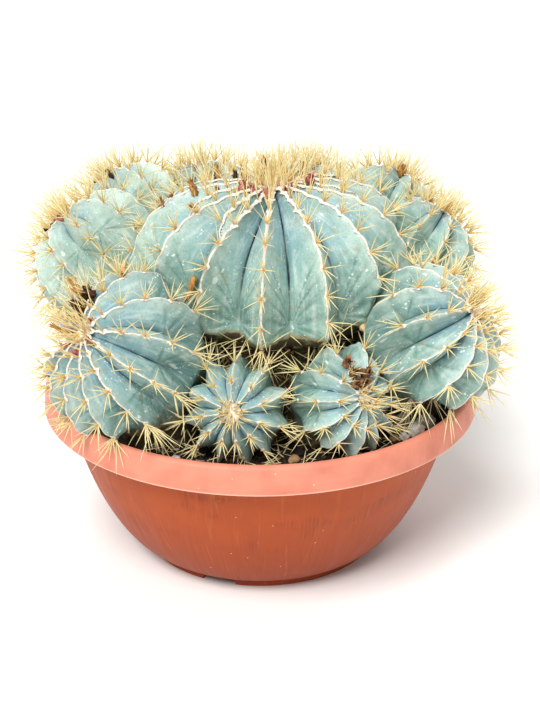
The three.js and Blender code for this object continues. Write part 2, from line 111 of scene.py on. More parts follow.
@dataclass
class MeshData:
    """A mesh in the making: points in bowl millimetres, faces, and a number per point for each attribute."""

    points: list[Array] = field(default_factory=list)
    quads: list[Array] = field(default_factory=list)
    triangles: list[Array] = field(default_factory=list)
    values: dict[str, list[Array]] = field(default_factory=dict)
    count: int = 0

    def add(self, points: Array, quads: Array | None, triangles: Array | None = None,
            **values: Array | float) -> None:
        """Adds points with their faces.

        Args:
            points: New points, one per row.
            quads: Faces of four, counted from the first new point.
            triangles: Faces of three, counted from the first new point.
            **values: Attribute values for the new points.
        """
        points = points.reshape(-1, 3)
        if quads is not None and len(quads):
            self.quads.append(quads + self.count)
        if triangles is not None and len(triangles):
            self.triangles.append(triangles + self.count)
        for key, value in values.items():
            flat = np.asarray(value, float).reshape(-1) if np.ndim(value) else value
            self.values.setdefault(key, []).append(np.broadcast_to(flat, len(points)))
        self.points.append(points)
        self.count += len(points)


class Bench:
    """Where meshes become pieces: it knows the bowl's axis in the row's frame."""

    def __init__(self, bowl_node: str) -> None:
        """Finds the bowl's axis from the CAD node of the bowl."""
        low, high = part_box(bowl_node)
        self.axis = Vector(((low.x + high.x) / 2, (low.y + high.y) / 2, 0.0))

    def place(self, x: float, y: float, z: float) -> Vector:
        """A point in bowl millimetres, in metres in the row's frame."""
        return self.axis + Vector((x, y, z)) * MM

    def piece(self, name: str, data: MeshData, finish: "Finish", nodes: list[str],
              smooth: bool = True) -> bpy.types.Object:
        """Makes a piece of the object from mesh data.

        Args:
            name: The piece's name.
            data: Its mesh, in bowl millimetres.
            finish: The finish it is dressed in.
            nodes: CAD nodes that it stands for.
            smooth: Whether its faces are shaded smooth.

        Returns:
            The new object, riding on the body.
        """
        mesh = bpy.data.meshes.new(name)
        points = np.concatenate(data.points) * MM + np.array(self.axis)
        quads = np.concatenate(data.quads) if data.quads else np.zeros((0, 4), int)
        triangles = np.concatenate(data.triangles) if data.triangles else np.zeros((0, 3), int)
        corners = np.concatenate([quads.reshape(-1), triangles.reshape(-1)]).astype(np.int32)
        starts = np.concatenate([np.arange(len(quads)) * 4, len(quads) * 4 + np.arange(len(triangles)) * 3])
        mesh.vertices.add(len(points))
        mesh.vertices.foreach_set("co", points.astype(np.float32).reshape(-1))
        mesh.loops.add(len(corners))
        mesh.loops.foreach_set("vertex_index", corners)
        mesh.polygons.add(len(starts))
        mesh.polygons.foreach_set("loop_start", starts.astype(np.int32))
        mesh.polygons.foreach_set("use_smooth", np.full(len(starts), smooth))
        for key, chunks in data.values.items():
            layer = mesh.attributes.new(key, "FLOAT", "POINT")
            layer.data.foreach_set("value", np.concatenate(chunks).astype(np.float32))
        mesh.update(calc_edges=True)
        mesh.validate()
        made = bpy.data.objects.new(name, mesh)
        bpy.context.scene.collection.objects.link(made)
        mesh.materials.append(finish.material())
        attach(made, BODY)
        if nodes:
            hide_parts(*nodes)
        LOG.info("%s: %d points", name, len(points))
        return made


def grid_quads(rows: int, columns: int, closed: bool) -> Array:
    """Faces of a grid of points stored row by row.

    Args:
        rows: Number of rows.
        columns: Number of points in a row.
        closed: Whether the last column joins the first.

    Returns:
        One face of four per cell, wound so that columns turn anticlockwise round rows going down.
    """
    across = np.arange(columns if closed else columns - 1)
    down = np.arange(rows - 1)[:, None] * columns
    left = down + across
    right = down + (across + 1) % columns
    return np.stack([left, left + columns, right + columns, right], -1).reshape(-1, 4)


# ---------------------------------------------------------------- finishes


class Graph:
    """The nodes of one material. A socket stands for whatever it carries: a colour, a share or a place."""

    def __init__(self, tree: bpy.types.NodeTree) -> None:
        """Keeps the node tree, and empties it."""
        self.tree = tree
        tree.nodes.clear()

    def add(self, kind: str, values: dict | None = None, give: str | int = 0) -> Any:
        """Adds a node with its settings and links.

        Args:
            kind: The node's type name, after "ShaderNode".
            values: Settings, or output sockets that feed in, by property, input name or input number. "stops"
                holds a ramp's places and colours.
            give: Name or number of the output that is wanted.

        Returns:
            That output socket, or None from a node without outputs.
        """
        node = self.tree.nodes.new(f"ShaderNode{kind}")
        for key, value in (values or {}).items():
            if key == "stops":
                ramp = node.color_ramp
                while len(ramp.elements) < len(value):
                    ramp.elements.new(0.5)
                for element, (place, code) in zip(ramp.elements, value):
                    element.position = place
                    element.color = linear(code)
            elif isinstance(value, bpy.types.NodeSocket):
                self.tree.links.new(value, node.inputs[key])
            elif isinstance(key, str) and hasattr(node, key):
                setattr(node, key, value)
            else:
                node.inputs[key].default_value = value
        return node.outputs[give] if len(node.outputs) else None

    def coats(self, base: Any, *layers: tuple[str, Any]) -> Any:
        """Lays colours over one another.

        Args:
            base: The lowest colour's socket.
            *layers: For each coat its hex value and the share that it covers, lowest first.

        Returns:
            The colour of them all.
        """
        for code, share in layers:
            base = self.add("Mix", {"data_type": "RGBA", 0: share, 6: base, 7: linear(code)}, 2)
        return base

    def overlap(self, first: Any, *others: Any) -> Any:
        """Share where several shares hold at once.

        Args:
            first: The first share.
            *others: More shares, as sockets or numbers.

        Returns:
            Their product.
        """
        for other in others:
            first = self.add("Math", {"operation": "MULTIPLY", 0: first, 1: other})
        return first

    def patches(self, spot: Any, size: float | None, detail: float, band: tuple[float, float], most: float,
                least: float = 0.0) -> Any:
        """Share that comes and goes in patches.

        Args:
            spot: Texture coordinates.
            size: Size of a patch in millimetres, or None when the coordinates are already scaled.
            detail: Octaves of finer noise.
            band: Noise values at which a patch starts and is full.
            most: The share inside a patch.
            least: The share outside the patches.

        Returns:
            A value between least and most.
        """
        scale = per_mm(size) if size else 1.0
        noise = self.add("TexNoise", {"Vector": spot, "Scale": scale, "Detail": detail})
        return self.add("MapRange", {0: noise, 1: band[0], 2: band[1], 3: least, 4: most})


@dataclass(frozen=True)
class Finish:
    """What every finish shares: its name, the record's slot it belongs to, and one material per name."""

    name: str
    slot: str

    def material(self) -> bpy.types.Material:
        """The finish as a material, made once and then reused."""
        known = bpy.data.materials.get(self.name)
        if known:
            return known
        material = bpy.data.materials.new(self.name)
        material.use_nodes = True
        graph = Graph(material.node_tree)
        graph.add("OutputMaterial", {"Surface": self.paint(graph)})
        return material

    def paint(self, graph: Graph) -> Any:
        """Adds the nodes that make the finish, and gives the shader's output. Each finish has its own."""
        raise NotImplementedError


@dataclass(frozen=True)
class WaxyCactusSkin(Finish):
    """Living barrel-cactus skin under a wax bloom: matte grey-green along the ribs' edges, paler on the
    ridges as a painted highlight, slate blue towards the grooves as painted shade and bluer towards the
    crown, a dark painted-shade line in each crease and in the fold valleys, freckled with hard-water specks,
    corky brown on the old base, darkened there as painted shade."""

    name: str = "waxy_cactus_skin"
    slot: str = "cactus_stem"
    # rim and edge are the paler colours on and near each ridge: a painted highlight.
    rim: str = "#D0DCCF"
    edge: str = "#B7CCC1"
    flank: str = "#9CBCB7"
    sage: str = "#A3C0A8"
    # deep: slate blue, laid as painted shade on the inner flank towards the crease, and as the bluer tone of
    # some heads.
    deep: str = "#6C94A3"
    # crease: a dark line in each crease, painted shade.
    crease: str = "#1F3C49"
    crown: str = "#98BAC3"
    moss: str = "#668D82"
    # shade: dark green, used as painted shade in the fold valleys and for the skin's own fine freckles.
    shade: str = "#44695E"
    bloom: str = "#D3DFD5"
    # Corky brown of the old base, darkened as painted shade under the head.
    cork_and_shade: str = "#463A2C"
    hem: str = "#9A8652"
    speck: str = "#EDF2EC"
    roughness: float = 0.5
    ior: float = 1.42
    tone_mm: float = 34.0
    streak_mm: float = 5.0
    bloom_mm: float = 11.0
    scar_mm: float = 14.0
    line_mm: float = 12.0
    fold_mm: float = 9.0
    freckle_mm: float = 2.2
    speck_mm: float = 3.0
    splash_mm: float = 5.0
    crowd_mm: float = 30.0
    # The wax's own grain is about 0.1 mm and would not show, so it is drawn more than ten times as coarse.
    grain_mm: float = 1.4

    def paint(self, graph: Graph) -> Any:
        """Lays flank colours by distance from the rib's edge, with a painted highlight on the ridge and
        painted shade towards and in the crease, then tone, streaks, bloom, painted shade in the fold valleys,
        specks, and cork darkened as painted shade.

        Args:
            graph: The material's nodes.

        Returns:
            The shader's output.
        """
        spot = graph.add("TexCoord", give="Object")
        valley, level, tint, around, down, fold, worn = (
            graph.add("Attribute", {"attribute_name": key}, "Fac")
            for key in ("valley", "level", "tint", "around", "down", "fold", "worn")
        )
        low = graph.add("MapRange", {0: level, 1: 0.45, 2: 0.95, 3: 0.35, 4: 1.0})
        along = graph.add("CombineXYZ", {"X": around, "Y": down})
        streak = 1 / self.streak_mm
        thin = graph.add("Mapping", {"Scale": (streak, 0.12 * streak, 1), "Vector": along})
        run = graph.add("Mapping", {"Scale": (MM, 0.45 * MM, 1), "Vector": along})
        fan = graph.add("CombineXYZ", {"X": fold, "Y": valley, "Z": level})
        spread = graph.add("Mapping", {"Scale": (2.4, 0.5, 1.4), "Vector": fan})
        ragged = graph.add("TexNoise", {"Vector": spot, "Scale": per_mm(self.scar_mm), "Detail": 6})
        bitten = graph.add("Math", {"operation": "MULTIPLY_ADD", 0: ragged, 1: 1.6, 2: worn})
        colour = graph.coats(
            self.flank_colour(graph, valley, level),
            (self.moss, graph.overlap(graph.patches(spot, self.tone_mm, 7.0, (0.47, 0.64), 0.75), low)),
            (self.deep, graph.overlap(tint, 0.35)),
            (self.bloom, graph.overlap(tint, -0.45)),
            (self.bloom, graph.patches(thin, None, 5.0, (0.5, 0.72), 0.6)),
            (self.moss, graph.patches(spread, None, 4.0, (0.5, 0.72), 0.5)),
            (self.bloom, graph.patches(spot, self.bloom_mm, 6.0, (0.5, 0.74), 0.42)),
            # Painted shade: dark lines in the valleys of the folds.
            (self.shade, self.fold_lines(graph, fold, valley, level, spot)),
            (self.shade, graph.patches(spot, self.freckle_mm, 3.0, (0.5, 0.7), 0.25)),
            (self.speck, self.specks(graph, run, self.splash_mm, 2.6, 0.62)),
            (self.speck, self.specks(graph, spot, self.speck_mm, 2.2, 0.75)),
            # hem is the base's own brownish band; the cork coat is real corky brown darkened as painted
            # shade.
            (self.hem, graph.add("MapRange", {0: bitten, 1: 0.95, 2: 1.35, 3: 0.0, 4: 0.7})),
            (self.cork_and_shade, graph.add("MapRange", {0: bitten, 1: 1.5, 2: 1.75, 3: 0.0, 4: 0.95})),
        )
        return graph.add("BsdfPrincipled", {
            "Base Color": colour, "Normal": self.relief(graph, spot, thin), "Roughness": self.roughness,
            "IOR": self.ior, "Subsurface Weight": 0.05, "Subsurface Radius": (0.003, 0.005, 0.004),
            "Subsurface Scale": 1.0,
        })

    def flank_colour(self, graph: Graph, valley: Any, level: Any) -> Any:
        """Colour by place on the rib: edge with a painted highlight, flank, a dark crease line of painted
        shade, slate inside as painted shade, bluer at the crown, greener below.

        Args:
            graph: The material's nodes.
            valley: 0 on the ridge, 1 in the groove.
            level: 0 at the crown, 1 at the widest level.

        Returns:
            The colour.
        """
        # Pale on the ridge as a painted highlight, dark in the crease as painted shade.
        stops = [(0.0, self.rim), (0.13, self.edge), (0.45, self.flank), (0.93, self.flank)]
        stops.append((0.965, self.crease))
        ramp = graph.add("ValToRGB", {"Fac": valley, "stops": stops})
        # foot and upper set where slate blue is laid as painted shade: towards the crease, most in the upper
        # flank.
        foot = graph.add("MapRange", {0: valley, 1: 0.35, 2: 0.88, 3: 0.0, 4: 1.0})
        inner = graph.add("MapRange", {0: valley, 1: 0.05, 2: 0.5, 3: 0.15, 4: 1.0})
        not_crease = graph.add("MapRange", {0: valley, 1: 0.92, 2: 0.96, 3: 1.0, 4: 0.0})
        upper = graph.add("MapRange", {0: level, 1: 0.55, 2: 0.95, 3: 0.9, 4: 0.25})
        high = graph.add("MapRange", {0: level, 1: 0.15, 2: 0.75, 3: 0.75, 4: 0.0})
        ripe = graph.add("MapRange", {0: level, 1: 0.4, 2: 0.95, 3: 0.0, 4: 0.5})
        low = graph.add("MapRange", {0: level, 1: 0.8, 2: 1.3, 3: 0.0, 4: 0.7})
        return graph.coats(
            ramp,
            (self.deep, graph.overlap(foot, upper, not_crease)),
            (self.crown, graph.overlap(high, inner, not_crease)),
            (self.sage, graph.overlap(ripe, not_crease)),
            (self.moss, low),
        )

    def specks(self, graph: Graph, spot: Any, apart: float, rarity: float, most: float) -> Any:
        """Share of hard-water marks: dots of uneven size that crowd in patches.

        Args:
            graph: The material's nodes.
            spot: Texture coordinates.
            apart: Distance between marks in millimetres.
            rarity: How much rarer large marks are than small ones.
            most: The share inside a mark.

        Returns:
            The share.
        """
        warp = graph.add("TexNoise", {"Vector": spot, "Scale": per_mm(4.0), "Detail": 2}, "Color")
        pull = graph.add("VectorMath", {"operation": "MULTIPLY_ADD", 0: warp, 1: (2.5 * MM,) * 3, 2: spot})
        distance = graph.add("TexVoronoi", {"Vector": pull, "Scale": per_mm(apart)})
        draw = distance.node.outputs["Color"]
        chance = graph.add("Math", {"operation": "POWER", 0: draw, 1: rarity})
        size = graph.overlap(graph.patches(spot, self.crowd_mm, 3, (0.34, 0.62), 0.58, 0.1), chance)
        inside = graph.add("Math", {"operation": "SUBTRACT", 0: size, 1: distance})
        return graph.add("MapRange", {0: inside, 1: 0.0, 2: 0.09, 3: 0.0, 4: most})

    def fold_lines(self, graph: Graph, fold: Any, valley: Any, level: Any, spot: Any) -> Any:
        """Share of the painted shade in the fold valleys: dark lines that run up the flanks from the crease
        to each areole.

        Args:
            graph: The material's nodes.
            fold: Place across the folds: a whole number on each line.
            valley: 0 on the ridge, 1 in the groove.
            level: 0 at the crown, 1 at the widest level.
            spot: Texture coordinates.

        Returns:
            The share.
        """
        near = graph.add("Math", {"operation": "PINGPONG", 0: fold, 1: 0.5})
        wide = graph.patches(spot, self.line_mm, 5, (0.3, 0.7), 0.24, 0.06)
        inside = graph.add("Math", {"operation": "SUBTRACT", 0: wide, 1: near})
        line = graph.add("MapRange", {0: inside, 1: -0.08, 2: 0.2, 3: 0.0, 4: 0.55})
        stops = [(0.1, "#000000"), (0.35, "#FFFFFF"), (0.8, "#FFFFFF"), (0.93, "#000000")]
        window = graph.add("ValToRGB", {"Fac": valley, "stops": stops})
        low = graph.add("MapRange", {0: level, 1: 0.25, 2: 0.6, 3: 0.1, 4: 1.0})
        return graph.overlap(line, window, low)

    def relief(self, graph: Graph, spot: Any, thin: Any) -> Any:
        """The skin's grain, its faint lines along the rib and its soft folds.

        Args:
            graph: The material's nodes.
            spot: Texture coordinates.
            thin: Coordinates drawn out along the rib.

        Returns:
            The surface's normal.
        """
        grain = graph.add("TexNoise", {"Vector": spot, "Scale": per_mm(self.grain_mm), "Detail": 3})
        lines = graph.add("TexNoise", {"Vector": thin, "Scale": 1.0, "Detail": 3})
        swell = {"Vector": spot, "Scale": per_mm(self.fold_mm), "Detail": 4, "Distortion": 0.6}
        folds = graph.add("TexNoise", swell)
        fine = graph.add("Bump", {"Height": grain, "Strength": 0.15, "Distance": 0.3 * MM})
        lined = graph.add("Bump", {"Height": lines, "Strength": 0.3, "Distance": 0.7 * MM, "Normal": fine})
        return graph.add("Bump", {"Height": folds, "Strength": 0.4, "Distance": 1.0 * MM, "Normal": lined})


@dataclass(frozen=True)
class AreoleFelt(Finish):
    """Short plant wool: cream-white and quite matte, rusty pink where the spines stand."""

    name: str = "areole_felt"
    slot: str = "spines_and_felt"
    wool: str = "#F0E6D9"
    aged: str = "#D0BFA6"
    heart: str = "#C7A48F"
    fleck: str = "#B5907C"
    roughness: float = 0.95
    mottle_mm: float = 7.0
    fleck_mm: float = 2.6
    # Single hairs are a few hundredths of a millimetre thick, so the bump shows tufts of them instead.
    tuft_mm: float = 2.2

    def paint(self, graph: Graph) -> Any:
        """Mixes wool, ageing and the rusty heart of each areole, with a woolly bump.

        Args:
            graph: The material's nodes.

        Returns:
            The shader's output.
        """
        spot = graph.add("TexCoord", give="Object")
        areole, age = (graph.add("Attribute", {"attribute_name": key}, "Fac") for key in ("areole", "age"))
        mottled = graph.add("TexNoise", {"Vector": spot, "Scale": per_mm(self.mottle_mm), "Detail": 5})
        aged = graph.overlap(age, mottled)
        wool = graph.add("Mix", {"data_type": "RGBA", 0: aged, 6: linear(self.wool), 7: linear(self.aged)}, 2)
        colour = graph.coats(
            wool,
            (self.heart, graph.add("MapRange", {0: areole, 1: 0.45, 2: 1.0, 3: 0.0, 4: 0.5})),
            (self.fleck, graph.patches(spot, self.fleck_mm, 3.0, (0.56, 0.66), 0.6)),
        )
        tufts = graph.add("TexNoise", {"Vector": spot, "Scale": per_mm(self.tuft_mm), "Detail": 5})
        bump = graph.add("Bump", {"Height": tufts, "Strength": 0.7, "Distance": 0.5 * MM})
        return graph.add("BsdfPrincipled", {
            "Base Color": colour, "Normal": bump, "Roughness": self.roughness, "Sheen Weight": 0.3,
        })


@dataclass(frozen=True)
class GoldenSpine(Finish):
    """Hard, slightly translucent spine: amber foot, golden to straw shaft, brown tip, with a soft gloss."""

    name: str = "golden_spine"
    slot: str = "spines_and_felt"
    foot: str = "#CE9C54"
    shaft: str = "#EACC85"
    upper: str = "#EFE1B0"
    tip: str = "#A88350"
    straw: str = "#E9D9A6"
    roughness: float = 0.38
    ior: float = 1.5

    def paint(self, graph: Graph) -> Any:
        """Colours the spine along its length, and pales it with age.

        Args:
            graph: The material's nodes.

        Returns:
            The shader's output.
        """
        along, age = (graph.add("Attribute", {"attribute_name": key}, "Fac") for key in ("along", "age"))
        stops = [(0.0, self.foot), (0.14, self.shaft), (0.6, self.upper), (0.86, self.shaft), (1.0, self.tip)]
        shaded = graph.add("ValToRGB", {"Fac": along, "stops": stops})
        return graph.add("BsdfPrincipled", {
            "Base Color": graph.coats(shaded, (self.straw, age)), "Roughness": self.roughness,
            "IOR": self.ior, "Subsurface Weight": 0.2, "Subsurface Radius": (0.002, 0.0012, 0.0005),
            "Subsurface Scale": 1.0,
        })


@dataclass(frozen=True)
class MouldedPolypropylene(Finish):
    """Injection-moulded polypropylene, terracotta-coloured: an even satin, with rain streaks below the rim,
    wiped lime smears on the wall and a scatter of pale specks. Painted shade darkens the wall towards the
    bottom and in a band under the rim; the rim's top and its lower edge are paler as painted highlight."""

    name: str = "moulded_polypropylene"
    slot: str = "bowl_plastic"
    wall: str = "#B85220"
    # low: the wall darker towards the bottom, where it faces down: painted shade.
    low: str = "#933A10"
    # rim: paler than the wall on the rim's top: a painted highlight of light from above and its sheen.
    rim: str = "#DE8A72"
    # streak: dark of rain streaks, wiping marks and blotches, also used for the painted shadow under the rim.
    streak: str = "#8E3D20"
    lime: str = "#D08058"
    # A pale line along the rim's lower edge: a painted highlight.
    lip_highlight: str = "#F3CDB9"
    speck: str = "#F2D9C8"
    roughness: float = 0.5
    ior: float = 1.49
    rim_low: float = 157.0
    centre: tuple[float, float] = (0.0, 0.0)
    speck_mm: float = 16.0
    blotch_mm: float = 26.0
    # The mould's grain is about 0.2 mm and would not show, so it is drawn ten times as coarse.
    grain_mm: float = 2.0

    def paint(self, graph: Graph) -> Any:
        """Colours the wall by height, darker towards the bottom as painted shade, then adds streaks, smears
        and specks by the bowl's angle and height, a painted highlight on the rim and a painted shadow under
        it.

        Args:
            graph: The material's nodes.

        Returns:
            The shader's output.
        """
        spot = graph.add("TexCoord", give="Object")
        moved = graph.add("VectorMath", {"operation": "SUBTRACT", 0: spot, 1: (*self.centre, 0.0)})
        x, y, height = graph.add("SeparateXYZ", {0: moved}).node.outputs
        angle = graph.add("Math", {"operation": "ARCTAN2", 0: x, 1: y})
        around = graph.add("CombineXYZ", {"X": angle, "Z": height})
        drawn_out, grouped, wiped, banded = (
            graph.add("Mapping", {"Scale": scale, "Vector": around})
            for scale in ((34.0, 1.0, 5.0), (2.6, 1.0, 3.0), (16.0, 1.0, 7.0), (9.0, 1.0, 150.0))
        )
        edge = self.rim_low * MM
        # Painted shade: the wall darkens towards the bottom.
        lower = graph.add("MapRange", {0: height, 1: 0.02, 2: 0.15, 3: 0.0, 4: 1.0})
        wall = graph.add("Mix", {"data_type": "RGBA", 0: lower, 6: linear(self.low), 7: linear(self.wall)}, 2)
        below = graph.add("MapRange", {0: height, 1: edge - 75 * MM, 2: edge, 3: 0.0, 4: 1.0})
        # under: a painted shadow band on the wall just below the rim.
        under = graph.add("MapRange", {0: height, 1: edge - 16 * MM, 2: edge - 2 * MM, 3: 0.0, 4: 0.55})
        up = graph.add("MapRange", {0: height, 1: edge - 1.5 * MM, 2: edge, 3: 0.0, 4: 1.0})
        lip = graph.add("MapRange", {0: height, 1: edge + 0.8 * MM, 2: edge + 2 * MM, 3: 1.0, 4: 0.0})
        not_rim = graph.add("Math", {"operation": "SUBTRACT", 0: 1.0, 1: up})
        faint_on_rim = graph.add("Math", {"operation": "MULTIPLY_ADD", 0: up, 1: -0.93, 2: 1.0})
        lines = graph.add("TexNoise", {"Vector": drawn_out, "Scale": 1.0, "Detail": 4, "Roughness": 0.6})
        streaks = graph.add("MapRange", {0: lines, 1: 0.56, 2: 0.7, 3: 0.0, 4: 1.0})
        groups = graph.patches(grouped, None, 2, (0.46, 0.6), 1.0)
        smears = graph.add("TexNoise", {"Vector": wiped, "Scale": 1.6, "Detail": 5, "Distortion": 1.2})
        dots = graph.add("TexVoronoi", {"Vector": spot, "Scale": per_mm(self.speck_mm)})
        dotted = graph.add("Math", {"operation": "LESS_THAN", 0: dots, 1: 0.04})
        colour = graph.coats(
            wall,
            (self.streak, graph.overlap(streaks, groups, below)),
            (self.lime, graph.add("MapRange", {0: smears, 1: 0.58, 2: 0.76, 3: 0.0, 4: 0.3})),
            # Painted highlight on the rim's top.
            (self.rim, up),
            (self.speck, graph.overlap(dotted, 0.7)),
            (self.streak, graph.overlap(self.hatch(graph, around), faint_on_rim)),
            (self.streak, graph.patches(spot, self.blotch_mm, 9.0, (0.42, 0.75), 0.3)),
            (self.lime, graph.overlap(graph.patches(banded, None, 5.0, (0.56, 0.74), 0.3), up)),
            # Painted highlight along the rim's lower edge.
            (self.lip_highlight, graph.overlap(lip, up, 0.8)),
            # Painted shadow just under the rim.
            (self.streak, graph.overlap(under, not_rim)),
        )
        band = {3: self.roughness - 0.06, 4: self.roughness + 0.12}
        dull = graph.add("MapRange", {0: smears, 1: 0.3, 2: 0.7, **band})
        grain = graph.add("TexNoise", {"Vector": spot, "Scale": per_mm(self.grain_mm), "Detail": 3})
        bump = graph.add("Bump", {"Height": grain, "Strength": 0.06, "Distance": 0.2 * MM})
        return graph.add("BsdfPrincipled", {
            "Base Color": colour, "Normal": bump, "Roughness": dull, "IOR": self.ior,
            "Specular IOR Level": 0.3,
        })

    def hatch(self, graph: Graph, around: Any) -> Any:
        """Share of the short upright marks, side by side in level bands, that wiping has left on the plastic.

        Args:
            graph: The material's nodes.
            around: Coordinates of angle and height.

        Returns:
            The share.
        """
        upright = graph.add("Mapping", {"Scale": (95.0, 1.0, 20.0), "Vector": around})
        level = graph.add("Mapping", {"Scale": (2.3, 1.0, 34.0), "Vector": around})
        marks = graph.patches(upright, None, 3.0, (0.46, 0.6), 0.75)
        return graph.overlap(marks, graph.patches(level, None, 2.0, (0.54, 0.62), 1.0))


@dataclass(frozen=True)
class Crumb(Finish):
    """Anything rough and matte whose colour wanders between shades: soil, stone, fibre or a dead flower."""

    name: str = "peat_soil"
    slot: str = "potting_soil"
    shades: tuple[str, str, str] = ("#140E0B", "#2C2019", "#513F31")
    patch_mm: float = 6.0
    grain_mm: float = 1.2
    bump_mm: float = 0.8
    roughness: float = 0.95

    def paint(self, graph: Graph) -> Any:
        """Spreads three shades by noise, shifted by the piece's own shade attribute, over a grainy bump.

        Args:
            graph: The material's nodes.

        Returns:
            The shader's output.
        """
        spot = graph.add("TexCoord", give="Object")
        own = graph.add("Attribute", {"attribute_name": "shade"}, "Fac")
        patch = graph.add("TexNoise", {"Vector": spot, "Scale": per_mm(self.patch_mm), "Detail": 6})
        shifted = graph.add("Math", {"operation": "MULTIPLY_ADD", 0: patch, 1: 0.9, 2: own})
        stops = [(0.3, self.shades[0]), (0.55, self.shades[1]), (0.85, self.shades[2])]
        colour = graph.add("ValToRGB", {"Fac": shifted, "stops": stops})
        grain = graph.add("TexNoise", {"Vector": spot, "Scale": per_mm(self.grain_mm), "Detail": 5})
        bump = graph.add("Bump", {"Height": grain, "Strength": 0.8, "Distance": self.bump_mm * MM})
        return graph.add("BsdfPrincipled", {
            "Base Color": colour, "Normal": bump, "Roughness": self.roughness, "Specular IOR Level": 0.25,
        })


# Moist fibrous peat: near black, without any gloss.
PEAT = Crumb()
# Composted bark: warm brown chips that stand out from the peat.
BARK = Crumb(name="composted_bark", shades=("#2A1C14", "#4E3A2B", "#7A6148"), patch_mm=9.0)
STONE = partial(Crumb, slot="stone")
# Expanded volcanic glass: chalky white grains.
PERLITE = STONE(name="perlite", shades=("#B9B4AC", "#DDD9D2", "#F3F1EC"), patch_mm=3.0, bump_mm=0.5)
# Dusty weathered limestone: an even pale grey.
LIMESTONE = STONE(name="grey_limestone", shades=("#7D7976", "#A9A5A1", "#CFCBC6"), patch_mm=8.0)
# Water-worn sandstone: a dull tan.
SANDSTONE = STONE(name="brown_sandstone", shades=("#7A5A3C", "#A58560", "#CDB28C"), patch_mm=7.0)
PETAL = partial(Crumb, slot="withered_flower", patch_mm=4.0)
# Petals long dead: dark brown and papery.
DEAD_PETAL = PETAL(name="dead_petal", shades=("#3A2519", "#6B4932", "#A67D58"))
# Petals dried this year: straw to amber.
DRY_PETAL = PETAL(name="dry_petal", shades=("#9A6530", "#CE9650", "#EBCB94"))
# Scales of a closed bud: a dusty rose.
ROSY_PETAL = PETAL(name="rosy_petal", shades=("#A05650", "#CC7F76", "#EBBCAE"))


# ---------------------------------------------------------------- the bowl


